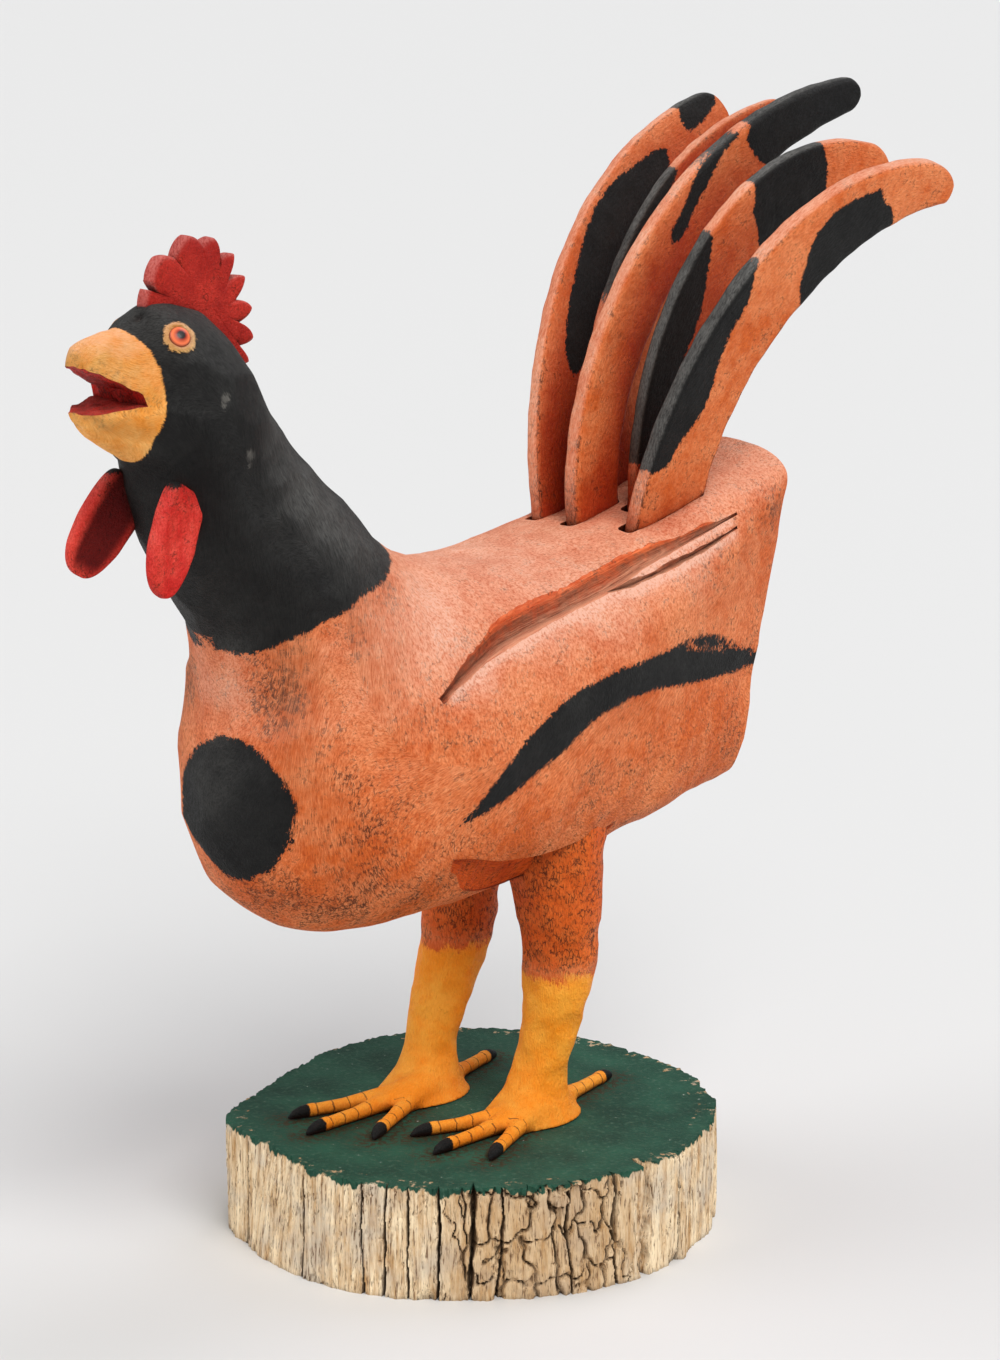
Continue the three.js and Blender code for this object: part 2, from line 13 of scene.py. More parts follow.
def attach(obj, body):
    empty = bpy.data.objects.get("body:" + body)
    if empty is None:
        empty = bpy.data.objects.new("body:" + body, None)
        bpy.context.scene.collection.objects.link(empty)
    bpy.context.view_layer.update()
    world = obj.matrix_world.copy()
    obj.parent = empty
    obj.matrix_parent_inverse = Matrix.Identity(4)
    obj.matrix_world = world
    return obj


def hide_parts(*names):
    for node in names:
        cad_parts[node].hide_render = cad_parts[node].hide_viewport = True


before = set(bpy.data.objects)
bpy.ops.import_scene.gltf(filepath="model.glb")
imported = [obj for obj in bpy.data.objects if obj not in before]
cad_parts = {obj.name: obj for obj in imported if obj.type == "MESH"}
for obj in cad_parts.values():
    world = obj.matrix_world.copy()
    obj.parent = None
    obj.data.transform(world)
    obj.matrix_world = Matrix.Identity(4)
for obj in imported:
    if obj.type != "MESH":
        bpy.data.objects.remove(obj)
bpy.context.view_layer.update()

MM = 0.001
BEYOND = 300.0
SIDES = {"left": 1, "right": -1}
# A point's up, side and behind, in the order of the grain of wood that stands upright.
UPRIGHT = [2, 0, 1]

# Sizes. The solids have most of them too.

# The bird's sections: back (ahead, up), belly (ahead, up), half width, how far up the widest place is, and
# the superellipse powers above and below it.
SECTIONS = [
    (-207, 435, -166, 243, 59, 0.88, 2.4, 9.0), (-163, 424, -132, 237, 66, 0.78, 2.8, 6.0),
    (-105, 406, -85, 226, 75, 0.66, 3.1, 4.0), (-50, 396, -28, 211, 81, 0.58, 2.8, 2.8),
    (-5, 394, 25, 204, 84, 0.54, 2.5, 2.4), (30, 397, 80, 200, 84, 0.50, 2.3, 2.3),
    (58, 404, 132, 203, 80, 0.50, 2.1, 2.3), (76, 414, 168, 221, 75, 0.50, 2.0, 2.2),
    (89, 425, 189, 252, 68, 0.52, 2.0, 2.1), (101, 437, 194, 292, 60, 0.54, 2.0, 2.0),
    (114, 450, 186, 334, 54, 0.55, 2.0, 2.0), (130, 464, 192, 370, 50, 0.55, 2.0, 2.0),
    (146, 482, 211, 400, 47, 0.52, 2.0, 2.0), (160, 500, 228, 427, 45, 0.50, 2.0, 2.0),
    (173, 520, 234, 451, 44, 0.50, 2.0, 2.0), (187, 542, 239, 470, 43, 0.50, 2.0, 2.0),
    (208, 558, 248, 479, 38, 0.52, 2.0, 2.0), (230, 563, 253, 483, 30, 0.55, 2.0, 2.0),
    (248, 553.5, 257, 485, 22, 0.52, 2.0, 2.0), (262, 551.5, 266, 490, 19, 0.50, 2.2, 2.0),
    (274, 548, 275, 497.5, 15, 0.50, 2.4, 2.1), (280, 541, 280.5, 504.5, 9, 0.50, 2.4, 2.2),
]
REAR_HOLLOW = 6.0
BEAK_REACH = 280.3
BODY_RINGS, BODY_SIDES, REAR_RINGS = 390, 208, 24
# A small hole on top of the head: ahead, side, up.
PIT = (241, 3, 557)
MOUTH = [(251, 516), (290, 540), (290, 509)]
MOUTH_REACH = 40.0
MOUTH_BLUNT = np.array([0, 2.4])

WING_GROOVE = [
    (94, 339.5, 92, 336.5), (73, 355.5, 72, 344.5), (57, 363.5, 58, 351), (37, 371.5, 40, 357.5),
    (8, 376.5, 12, 364.5), (-15, 380, -11, 369), (-51, 387, -48, 376), (-84, 393.5, -84, 386),
    (-120, 399.5, -120, 395), (-156, 406, -156, 404),
]
COVERT_GROOVE = [
    (-40, 377.5, -40, 375.5), (-60, 380.5, -60, 376), (-80, 384.5, -80, 379), (-103, 389, -103, 383.5),
    (-120, 392, -120, 387), (-136, 395.5, -136, 391), (-153, 399, -153, 396.5),
]
BELLY_GROOVE = [(84, 246), (62, 242), (34, 235), (7, 233), (-17, 234), (-38, 236), (-62, 241)]
# Each groove's edges, depth, and how far from its upper to its lower edge its deepest line lies.
GROOVES = [(WING_GROOVE, 6.5, 0.60), (COVERT_GROOVE, 4.0, 0.45)]
SHELF_DEPTH = 6.5
GROOVE_OVER = 2.4
GROOVE_SHALLOWS = 0.7

# Tail feathers: foot (ahead, side) at the height of the back, lean, slope at the foot, sweep, bend, length,
# half width, width left at the tip, thickness.
FEATHERS = [
    (-105, -28, -14, 4, 72, 0.98, 309, 25.5, 0.7, 9.5), (-126, -14, -7.5, 3, 78, 1.1, 308, 23, 0.5, 9),
    (-100, -0.5, -2, -11, 95, 0.7, 360.6, 18.5, 0.54, 11.5), (-137, 16, 5, -7, 115, 1.28, 311, 23, 0.45, 9),
    (-119, 35.5, 14, 1, 97, 1.16, 309, 27, 0.42, 10.5),
]
BACK_HEIGHT = 400.0
FEATHER_SHOULDER = 0.5
FEATHER_TAPER = 1.7
FEATHER_STEPS = 300
# How far from the tip each feather's front edge and back edge begin to round over, in mm.
TIP_ROUNDS = ((15, 8), (16, 9), (11, 11), (20, 6), (27, 4))
SLOT_DEPTH = 26.0
SLOT_AHEAD = 5.0

# Comb lobes: angle where each starts, angle of its tip, reach of the notch before it, reach of its tip.
COMB_MIDDLE = (196, 540)
COMB_THICK = 10.0
COMB_LOBES = [
    (25, 38.7, 44.5, 48.5), (39.9, 44, 37.5, 49.6), (44.1, 57, 49.5, 54.5), (67, 80, 49, 56.5),
    (89.5, 98, 50, 53.5), (107, 116, 44, 48),
    (121, 133, 35, 41.5), (141, 158, 29, 35.5), (167, 185, 26, 34), (196, 207, 25, 34.5),
]
COMB_END = (218, 24)
COMB_ROUND = 1.5
COMB_HUB = np.array([-4.0, 14.0])
COMB_POWER = 8.0

WATTLE_LONG, WATTLE_WIDE, WATTLE_THICK = 61.0, 34.0, 9.5
WATTLE_TAPER = 0.2
WATTLE_MIDDLES = {1: (245.5, 34.5, 442.5), -1: (240, 28.5, 441)}
WATTLE_LEAN, WATTLE_FLARE, WATTLE_SPLAY = np.radians([29, 12, 13.5])
# Powers of the oval: square at the root in the neck, rounder at the free end.
WATTLE_ROOT, WATTLE_END = 0.32, 0.78

EYE_RADIUS, EYE_BULGE, EYE_SUNK = 6.0, 3.6, 1.4
EYE_PLACE = (231, 548)
PUTTY_RING = 7.4
PUTTY_HEIGHTS = {1: 1.1, -1: 0.5}

# Legs: up, ahead, side, half length, half width. Toes: ball of the foot, then the claw tips.
LEFT_LEG = [
    (246, -32, 33, 34, 34), (222, -32, 35, 30, 30), (204, -33, 37, 27, 26), (188, -34, 38, 25, 24.5),
    (165, -35, 38, 22.5, 22), (150, -34.5, 38, 21.5, 21), (131, -31, 38, 19, 19),
    (110, -26, 37, 16.5, 16.5), (92, -21, 36, 16, 16.5), (80, -17, 36, 20, 18.5), (72, -13, 37, 27, 22),
    (66, -12, 37.5, 34, 26),
]
RIGHT_LEG = [
    (246, -32, -35, 32, 32), (222, -32, -38, 27, 27), (204, -33, -40, 24, 24),
    (188, -32, -41, 22.5, 22.5), (165, -31, -42, 22, 22), (150, -27.5, -42.5, 21, 21),
    (131, -21, -42.5, 19, 19.5), (110, -12, -41.5, 16.5, 16.5), (92, -6, -40.5, 15, 15.5),
    (80, -2, -39, 19, 18), (72, 4, -37, 26, 21), (66, 7, -35, 33, 25),
]
LEFT_TOES = [(-8, 45), (63, 17), (74, 48), (58, 77), (-94, 22)]
RIGHT_TOES = [(12, -28), (93, -54), (104, -26), (82, 6), (-71, -53)]
CLAW_LENGTH = 15.0
LEG_TOP = 244.0
LEG_MARGIN, LEG_CELL = 8, 1.25

BASE_RADIUS, BASE_HEIGHT = 144.0, 66.0
BASE_FLATS = [(-157, 20, 36), (-98, 10, 26), (172, 6, 26), (80, 3, 30)]
BASE_FOOT = 0.25
BASE_RIPPLES = [(5, 120, 1), (11, 0, 0.7)]
LEG_FOOT = BASE_HEIGHT + 0.2
FLOOR_HALF = 40.0

# Bristle marks and crackle are about half this wide on the carving; they are drawn coarser to show at all.
BRISTLE = 0.0014
CRACKLE = 0.0023
# Ground, a lighter drift, and the pale colour of dust and painted highlight.
ORANGE = ("#d86426", "#f08c54", "#f3b89e")
BLACK = ("#0a0909", "#161514")
OCHRE = ("#ff9f30", "#ffbd62")
# Points whose distances are worked out at a time.
BATCH = 4096


def lerp(a, b, t):
    """The value a part t of the way from a to b."""
    return a + (b - a) * t


def step(low, high, x):
    """0 below low, 1 above high, and 3u^2 - 2u^3 between them."""
    u = np.clip((x - low) / (high - low), 0, 1)
    return u * u * (3 - 2 * u)


def bell(x):
    """The soft round falloff e^-x^2."""
    return np.exp(-x ** 2)


def summed(steps):
    """How far each place is along a line, from the steps between the places."""
    return np.concatenate([[0], np.cumsum(steps)])


def smooth(rows, t):
    """Catmull-Rom curve through the rows at places t, its ends carried straight on."""
    rows = np.asarray(rows, float)
    padded = np.concatenate([[2 * rows[0] - rows[1]], rows, [2 * rows[-1] - rows[-2]]])
    i = np.clip(np.floor(t).astype(int), 0, len(rows) - 2)
    u = (t - i)[:, None]
    p0, p1, p2, p3 = (padded[i + k] for k in range(4))
    return p1 + 0.5 * u * (p2 - p0 + u * (2 * p0 - 5 * p1 + 4 * p2 - p3 + u * (3 * (p1 - p2) + p3 - p0)))


def place(ahead, side, up):
    """Points in the row frame from distances ahead, to the left side and up."""
    return np.stack(np.broadcast_arrays(side, -np.asarray(ahead, float), up), -1)


def unit(v):
    return v / np.linalg.norm(v, axis=-1, keepdims=True)


def tube(points):
    """Vertices and faces of a closed surface over rings of points, with a fan over each end."""
    rings, sides = points.shape[:2]
    index = np.arange(rings * sides).reshape(rings, sides)
    a, b = index[:-1], index[1:]
    quads = np.stack([a, np.roll(a, -1, 1), np.roll(b, -1, 1), b], -1).reshape(-1, 4)
    verts = np.concatenate([points.reshape(-1, 3), points[[0, -1]].mean(1)])
    hub = np.full(sides, rings * sides)
    first = np.stack([hub, np.roll(index[0], -1), index[0]], -1)
    last = np.stack([hub + 1, index[-1], np.roll(index[-1], -1)], -1)
    faces = quads.tolist() + first.tolist() + last.tolist()
    corners = verts[np.concatenate([quads[:, :3], quads[:, [0, 2, 3]], first, last])]
    volume = np.einsum("ij,ij->i", corners[:, 0], np.cross(corners[:, 1], corners[:, 2])).sum()
    return verts, faces if volume > 0 else [face[::-1] for face in faces]


def mesh_of(name, verts, faces):
    mesh = bpy.data.meshes.new(name)
    mesh.from_pydata((np.asarray(verts) * MM).tolist(), [], faces)
    mesh.update()
    return mesh


def new_object(name, data):
    obj = bpy.data.objects.new(name, data)
    bpy.context.scene.collection.objects.link(obj)
    return obj


def read(values, key):
    """One vector for each item of a mesh's list."""
    out = np.empty(len(values) * 3, np.float32)
    values.foreach_get(key, out)
    return out.reshape(-1, 3).astype(float)


def move(mesh, points):
    mesh.vertices.foreach_set("co", (points * MM).astype(np.float32).ravel())
    mesh.update()


def mark(mesh, name, values):
    """Stores a number, or a vector, for each vertex, for the materials to read."""
    kind, key = ("FLOAT_VECTOR", "vector") if np.ndim(values) == 2 else ("FLOAT", "value")
    data = mesh.attributes.new(name, kind, "POINT").data
    data.foreach_set(key, np.ascontiguousarray(values, np.float32).ravel())


def nearest_squared(points, centres, soft):
    """Squared distance to the nearest centre, as a soft minimum: two cells meet in a rounded ridge."""
    out = np.empty(len(points))
    for start in range(0, len(points), BATCH):
        part = points[start:start + BATCH]
        d = (part ** 2).sum(1)[:, None] + (centres ** 2).sum(1)[None] - 2 * part @ centres.T
        low = d.min(1)
        out[start:start + BATCH] = low - soft * np.log(np.exp((low[:, None] - d) / soft).sum(1))
    return out


def beside(points, line, soft, fall):
    """1 on a line that is given by its points, and e^-(squared distance / fall) beside it."""
    return np.exp(-np.maximum(nearest_squared(points, line, soft), 0) / fall)


def hewn(points, normals, count, radius, depth, soft=25.0):
    """Knife facets: flat cuts on a round form stand r^2 / 2R over it, r from the middle of each cut."""
    centres = points[rng.choice(len(points), count, replace=False)]
    height = nearest_squared(points, centres, soft) / (2 * radius)
    height = np.minimum(height, 3 * depth)
    return points + normals * (depth * (height - height.mean()) / max(height.std(), 1e-6))[:, None]


def hew(mesh, count, radius, depth):
    """Cuts a mesh's whole surface in facets and gives its points."""
    points = hewn(read(mesh.vertices, "co") / MM, read(mesh.vertex_normals, "vector"), count, radius, depth)
    move(mesh, points)
    return points


def waves(points, size, count=9):
    """Gentle random swell between -1 and 1, made of sine waves of about this size in random directions."""
    total = np.zeros(len(points))
    for _ in range(count):
        way = unit(rng.normal(size=3)) * 2 * np.pi / (size * rng.uniform(0.6, 1.6))
        total += np.sin(points @ way + rng.uniform(0, 2 * np.pi))
    return total / np.sqrt(count)


def inside_by(points, outline):
    """Signed distance to a closed outline in the plane, positive inside it."""
    outline = np.asarray(outline, float)
    best = np.full(len(points), np.inf)
    odd = np.zeros(len(points), bool)
    for a, b in zip(outline, np.roll(outline, -1, 0)):
        along = b - a
        u = np.clip((points - a) @ along / (along @ along), 0, 1)
        best = np.minimum(best, np.linalg.norm(points - a - u[:, None] * along, axis=1))
        crosses = (a[1] > points[:, 1]) != (b[1] > points[:, 1])
        rise = np.where(along[1] == 0, 1e-9, along[1])
        odd ^= crosses & (points[:, 0] < a[0] + (points[:, 1] - a[1]) * along[0] / rise)
    return np.where(odd, best, -best)


def from_side(points, lift=0.0):
    """Points as (ahead, up), seen from the side."""
    return np.stack([-points[:, 1], points[:, 2] + lift], 1)


def lay_rows(mesh, values):
    """A map called grain: the places along and across the brush rows, in mm, at each corner."""
    index = np.empty(len(mesh.loops), np.int32)
    mesh.loops.foreach_get("vertex_index", index)
    layer = mesh.uv_layers.new(name="grain")
    layer.data.foreach_set("uv", np.ascontiguousarray(values[index] * MM, np.float32).ravel())


def piece(name, mesh, node, slot, *materials, sharp=38.0):
    """A finished object in place of a CAD node, riding on the one body. The slot is not used."""
    for material in materials:
        mesh.materials.append(material)
    mesh.shade_smooth()
    mesh.set_sharp_from_angle(angle=np.radians(sharp))
    obj = new_object(name, mesh)
    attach(obj, "root")
    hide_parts(node)


def linear(code):
    """An sRGB hex colour as linear RGBA."""
    c = np.array([int(code[k:k + 2], 16) for k in (1, 3, 5)]) / 255
    return (*np.where(c <= 0.04045, c / 12.92, ((c + 0.055) / 1.055) ** 2.4), 1.0)


def new_material(name):
    """A material, and the function that adds a node to it.

    Values go to the sockets that the node uses, from the first on, and settings to its properties or to
    the sockets that they name. A value is a number, a vector, a hex colour or another node's output.
    """
    material = bpy.data.materials.new(name)
    material.use_nodes = True
    tree = material.node_tree
    tree.nodes.clear()

    def node(kind, *values, out=0, **settings):
        made = tree.nodes.new("ShaderNode" + kind)
        named = {key: settings.pop(key) for key in list(settings) if key in made.inputs}
        for key, value in settings.items():
            setattr(made, key, value)
        used = [socket for socket in made.inputs if socket.enabled]
        for socket, value in [*zip(used, values), *((made.inputs[key], named[key]) for key in named)]:
            if isinstance(value, bpy.types.NodeSocket):
                tree.links.new(value, socket)
            else:
                socket.default_value = linear(value) if isinstance(value, str) else value
        outputs = [socket for socket in made.outputs if socket.enabled]
        return outputs[out] if outputs else None

    return material, node


def painted(name, ground, light, pale_dust_and_highlight, patches=(), lines=0.8, crackle=0.4, dust_and_top_light=0.6, corner_shade=0.7,
            corner_shade_reach=0.008, stretch=(1.0, 0.55), pebble_light_and_shade=1.0, deep=0.3, painted_shade_tint=(0.50, 0.17, 0.04),
            black_dust_and_sheen=0.45, toes=False):
    """Brush-painted wood: a ground colour that drifts in soft clouds, with a painted highlight on the
    ridges of the bristle marks and painted shade between them, patches of other paint with dry brushed
    edges, a net of fine crackle that is dark where the rows are worn, more marks and soot as painted shade
    on what faces down, pale dust and a painted highlight on what faces up, and painted shade in corners and
    deep places.

    patches holds (attribute, dark, light, raggedness in mm, softness in mm): the attribute is the distance
    inside the patch's edge. The attribute film is old dust that the brush left together with painted
    highlights, worn is where the rows are rubbed dark, crease is a dark line of gouge marks and of painted
    shade, and inner is painted shade on faces turned in.
    """
    material, node = new_material(name)
    where = node("TexCoord", out=3)
    sideways = node("CombineXYZ", 0, 0, node("SeparateXYZ", where))
    grain = node("Attribute", attribute_name="grain", out=1)
    grain = node("VectorMath", grain, sideways, operation="ADD")
    rows = node("Mapping", grain, Scale=(*stretch, 1.0))
    broad = node("TexNoise", where, 1 / 0.055, 3.0, 0.55)
    mottle = node("TexNoise", where, 1 / 0.012, 4.0, 0.65)
    bristle = node("TexNoise", rows, 1 / BRISTLE, 3.0, 0.7)
    fine = node("TexNoise", where, 1 / 0.0032, 4.0, 0.7)
    facing = node("SeparateXYZ", node("NewGeometry", out=1), out=2)

    cloud = node("Math", broad, mottle, operation="ADD")
    cloud = node("MapRange", cloud, 0.82, 1.20)
    colour = node("Mix", cloud, ground, light, data_type="RGBA")

    # The drifts are pushed well past their mean, so that a patch's edge breaks up into bristle marks.
    rag = node("Math", fine, 0.7, bristle, operation="MULTIPLY_ADD")
    rag = node("Math", rag, -0.85, operation="ADD")
    covered, bare = 0.0, 1.0
    for attribute, dark, pale, ragged, soft in patches:
        inside = node("Attribute", attribute_name=attribute, out=2)
        edge = node("Math", rag, 9.0 * ragged, inside, operation="MULTIPLY_ADD")
        mask = node("MapRange", edge, -soft, soft)
        tone = node("Mix", cloud, dark, pale, data_type="RGBA")
        colour = node("Mix", mask, colour, tone, data_type="RGBA")
        # Thick black hides the bristle marks under it, and the ochre half of them.
        if attribute != "fleck":
            is_dark = attribute in ("black", "claw")
            bare = node("Mix", mask, bare, 0.0 if is_dark else 0.5)
            covered = node("Mix", mask, covered, 1.0 if is_dark else 0.0)

    # Painted highlight on the bristle ridges and painted shade in their hollows, as factors on the colour.
    ridge = node("MapRange", bristle, 0.36, 0.64)
    pebble_shading = node("Mix", ridge, (0.76, 0.60, 0.46, 1), (1.14, 1.28, 1.46, 1), data_type="RGBA")
    pebble_shading = node("Mix", pebble_light_and_shade, colour, pebble_shading, data_type="RGBA", blend_type="MULTIPLY")
    colour = node("Mix", bare, colour, pebble_shading, data_type="RGBA")

    # How far the paint is rubbed: worn spots and drifts; what faces down adds painted shade on the
    # underside.
    rubbed_and_downward = node("MapRange", mottle, 0.44, 0.66, 0, 0.6)
    below = node("MapRange", facing, 0, -0.7, 0, 0.3)
    for more in (node("Attribute", attribute_name="worn", out=2), below):
        rubbed_and_downward = node("Math", rubbed_and_downward, more, operation="ADD")

    # Crackle: the borders of small cells, bent by a noise, broken here and there.
    swerve = node("TexNoise", where, 1 / 0.0022, 2.0, out=1)
    swerve = node("VectorMath", swerve, (0.0016, 0.0016, 0.0016), rows, operation="MULTIPLY_ADD")
    cells = node("TexVoronoi", swerve, 1 / CRACKLE, feature="DISTANCE_TO_EDGE")
    net = node("MapRange", cells, 0.15, 0.02)
    broken = node("Math", fine, node("MapRange", rubbed_and_downward, 0, 1, 0.56, 0.40), operation="SUBTRACT")
    broken = node("Math", broken, 9.0, operation="MULTIPLY", use_clamp=True)
    for share in (broken, node("MapRange", rubbed_and_downward, 0, 0.9, crackle * 0.6, 0.9)):
        net = node("Math", net, share, operation="MULTIPLY")

    # Strokes: thin contours of a noise along the rows, only where the paint is well rubbed.
    stroke = node("TexNoise", rows, 1 / 0.0030, 3.0, 0.6)
    stroke = node("Math", stroke, 0.5, operation="SUBTRACT")
    stroke = node("Math", stroke, operation="ABSOLUTE")
    stroke = node("MapRange", stroke, 0.035, 0.006)
    kept = node("MapRange", rubbed_and_downward, 0.45, 1.0, 0, lines)
    kept = node("Math", kept, broken, operation="MULTIPLY")
    stroke = node("Math", stroke, kept, operation="MULTIPLY")
    marks = node("Math", net, stroke, operation="MAXIMUM")
    marks = node("Math", marks, bare, operation="MULTIPLY", use_clamp=True)
    if toes:
        # Knife lines across the toes, one in every 10 mm.
        along = node("Attribute", attribute_name="toe", out=2)
        turn = node("Math", fine, 3.0, along, operation="MULTIPLY_ADD")
        turn = node("Math", turn, 5.0, operation="PINGPONG")
        line = node("MapRange", turn, 0.55, 0.2, 0, 0.8)
        line = node("Math", line, node("Attribute", attribute_name="on_toe", out=2), operation="MULTIPLY")
        marks = node("Math", marks, line, operation="MAXIMUM")
    # A dark line: gouge marks along the groove walls, and painted shade along groove bottoms and under the
    # ledge.
    crease_and_shade = node("MapRange", node("Attribute", attribute_name="crease_and_shade", out=2), 0.55, 0.95, 0, 0.6)
    crease_and_shade = node("Math", crease_and_shade, node("MapRange", mottle, 0.38, 0.56, 0.2), operation="MULTIPLY")
    marks = node("Math", marks, crease_and_shade, operation="MAXIMUM")
    # Soot where the paint is rubbed most, and painted shade on what faces down.
    soot_and_underside_shade = node("Math", node("MapRange", rubbed_and_downward, 0.5, 1.2, 0, 0.2), bare, operation="MULTIPLY")
    colour = node("Mix", soot_and_underside_shade, colour, "#7a4026", data_type="RGBA")
    colour = node("Mix", marks, colour, "#40170a", data_type="RGBA")

    # Pale dust with a painted highlight on what faces up and where the film was laid.
    dust_and_highlight_mask = node("MapRange", facing, 0.05, 0.95, 0, dust_and_top_light)
    dust_and_highlight_mask = node("Math", dust_and_highlight_mask, node("Attribute", attribute_name="dust_and_highlight", out=2), operation="ADD")
    dust_and_highlight_mask = node("Math", dust_and_highlight_mask, node("MapRange", cloud, 0, 1, 0.6, 1.0), operation="MULTIPLY")
    pits = node("MapRange", bristle, 0.36, 0.58, 0.3)
    dust_and_highlight_mask = node("Math", dust_and_highlight_mask, pits, operation="MULTIPLY", use_clamp=True)
    dust_and_highlight_mask = node("Math", dust_and_highlight_mask, node("MapRange", covered, 0, 1, 1.0, black_dust_and_sheen), operation="MULTIPLY")
    # Over black paint the pale grey is a painted sheen as well as dust.
    dust_and_highlight = node("Mix", covered, pale_dust_and_highlight, "#7f7d79", data_type="RGBA")
    colour = node("Mix", dust_and_highlight_mask, colour, dust_and_highlight, data_type="RGBA")

    # Painted shade: what lies deep between pieces, and faces turned in, are drawn stronger and darker.
    painted_shade = node("MapRange", node("AmbientOcclusion", Distance=0.04, out=1, samples=6), 0.92, 0.50, 0, deep)
    painted_shade = node("Math", painted_shade, node("Attribute", attribute_name="inner", out=2), operation="MAXIMUM")
    shade = node("Mix", 1.0, colour, (*painted_shade_tint, 1), data_type="RGBA", blend_type="MULTIPLY")
    colour = node("Mix", painted_shade, colour, shade, data_type="RGBA")
    # Painted shade: dark brown in the corners.
    occlusion_shade = node("AmbientOcclusion", Distance=corner_shade_reach, out=1, samples=6)
    corner = node("MapRange", occlusion_shade, 0.75, 0.25, 0, corner_shade)
    colour = node("Mix", corner, colour, "#331006", data_type="RGBA")

    height = node("Math", fine, 0.5, bristle, operation="MULTIPLY_ADD")
    height = node("Math", net, -0.4, height, operation="MULTIPLY_ADD")
    surface = {"Base Color": colour, "Specular IOR Level": 0.2,
               "Roughness": node("MapRange", fine, 0.3, 0.7, 0.52, 0.72),
               "Normal": node("Bump", Strength=0.9, Distance=0.0016, Height=height)}
    node("OutputMaterial", node("BsdfPrincipled", **surface))
    return material


body_paint = painted(
    "Aged orange oil paint on carved wood", *ORANGE, crackle=0.6, dust_and_top_light=0.65, patches=[
        ("black", *BLACK, 1.0, 0.5), ("beak", *OCHRE, 0.35, 0.4), ("putty", "#d0903c", "#f2c884", 0.6, 0.4),
        ("fleck", "#33312e", "#7d7972", 0.9, 0.8)])
groove_paint = painted(
    "Orange paint scored by the gouge", "#cf4a0c", "#ea6118", "#efa682", dust_and_top_light=0.25, lines=1.0, crackle=0.9,
    stretch=(0.06, 1.3), deep=0.2, corner_shade=0.95, corner_shade_reach=0.014)
mouth_paint = painted(
    "Dark red paint inside the beak", "#e61808", "#f83020", "#b05a4c", lines=0.3, crackle=0.3, dust_and_top_light=0.7,
    deep=0.6, corner_shade=0.5, painted_shade_tint=(0.45, 0.12, 0.10))
feather_paint = painted(
    "Orange oil paint on thin carved plates", *ORANGE, patches=[("black", *BLACK, 0.7, 0.4)], dust_and_top_light=0.2,
    lines=0.9, crackle=0.12, stretch=(0.5, 1.0), pebble_light_and_shade=0.6, deep=1.0, black_dust_and_sheen=0.9)
red_paint = painted(
    "Red oil paint on carved wood", "#a51a10", "#c83022", "#dc8a80", patches=[("black", *BLACK, 0.6, 0.6)],
    dust_and_top_light=0.25, lines=0.5, pebble_light_and_shade=0.7)
wattle_paint = painted(
    "Bright red paint on carved wood", "#cc2018", "#ec4a3a", "#e89a90", dust_and_top_light=0.2, lines=0.6, pebble_light_and_shade=0.8,
    patches=[("black", *BLACK, 0.8, 0.8)], painted_shade_tint=(0.14, 0.012, 0.006))
leg_paint = painted(
    "Orange and ochre paint on carved legs", "#dc5c16", "#ec742c", "#e0966c", dust_and_top_light=0.1, deep=0.45,
    crackle=0.45, lines=0.5, pebble_light_and_shade=0.55, stretch=(0.5, 1.0), toes=True, patches=[
        ("ochre", "#fd9418", "#ffab36", 1.5, 1.6), ("claw", "#050505", "#100f0e", 0.3, 0.3)])


def bird(t, turn):
    """The bird's surface: superellipse rings square to its middle, from the sawn rear end to the beak."""
    rows = smooth(SECTIONS, t)[:, None]
    back, belly = rows[..., 0:2], rows[..., 2:4]
    half, wide, crown, keel = (rows[..., k] for k in range(4, 8))
    s, c = np.sin(turn)[None], np.cos(turn)[None]
    power = np.where(c > 0, crown, keel)
    reach = (np.abs(s) ** power + np.abs(c) ** power) ** (-1 / power)
    middle = lerp(belly, back, wide[..., None])
    end = np.where((c > 0)[..., None], back, belly)
    plane = lerp(middle, end, (np.abs(c) * reach)[..., None])
    share = (plane[..., 1] - belly[..., 1]) / (back[..., 1] - belly[..., 1])
    hollow = REAR_HOLLOW * np.maximum(0, 1 - t)[:, None] * np.sin(np.pi * share)
    points = place(plane[..., 0] + hollow, half * s * reach, plane[..., 1])
    return points, np.linalg.norm(plane - belly, axis=-1)


# The rings stand evenly by the longer of their steps over the back and under the belly, closer at the head.
tries = np.linspace(0, len(SECTIONS) - 1, 800)
ways = smooth(SECTIONS, tries)
longer = np.maximum(*(np.linalg.norm(np.diff(ways[:, k:k + 2], axis=0), axis=1) for k in (0, 2)))
run = summed(longer * np.interp(tries[1:], [0, 8, 14, 21], [1, 1, 1.5, 1.9]))
body_t = np.interp(np.linspace(0, run[-1], BODY_RINGS), run, tries)
rings, height = bird(body_t, np.arange(BODY_SIDES) * 2 * np.pi / BODY_SIDES)
centre = rings[0].mean(0)
shrunk = np.linspace(0.04, 1, REAR_RINGS)[:-1, None, None]
rings = np.concatenate([centre + (rings[0] - centre) * shrunk, rings])
height = np.concatenate([height[0].mean() + (height[:1] - height[0].mean()) * shrunk[..., 0], height])
length = np.cumsum(np.linalg.norm(np.diff(rings, axis=0), axis=2), axis=0)
length = np.concatenate([np.zeros((1, BODY_SIDES)), length])
body_verts, body_faces = tube(rings)
body_rows = np.stack([length.ravel(), height.ravel()], 1)
body_rows = np.concatenate([body_rows, [body_rows[:BODY_SIDES].mean(0), body_rows[-BODY_SIDES:].mean(0)]])
body_mesh = mesh_of("carved_body", body_verts, body_faces)
lay_rows(body_mesh, body_rows)
skin = BVHTree.FromPolygons(body_verts.tolist(), body_faces)


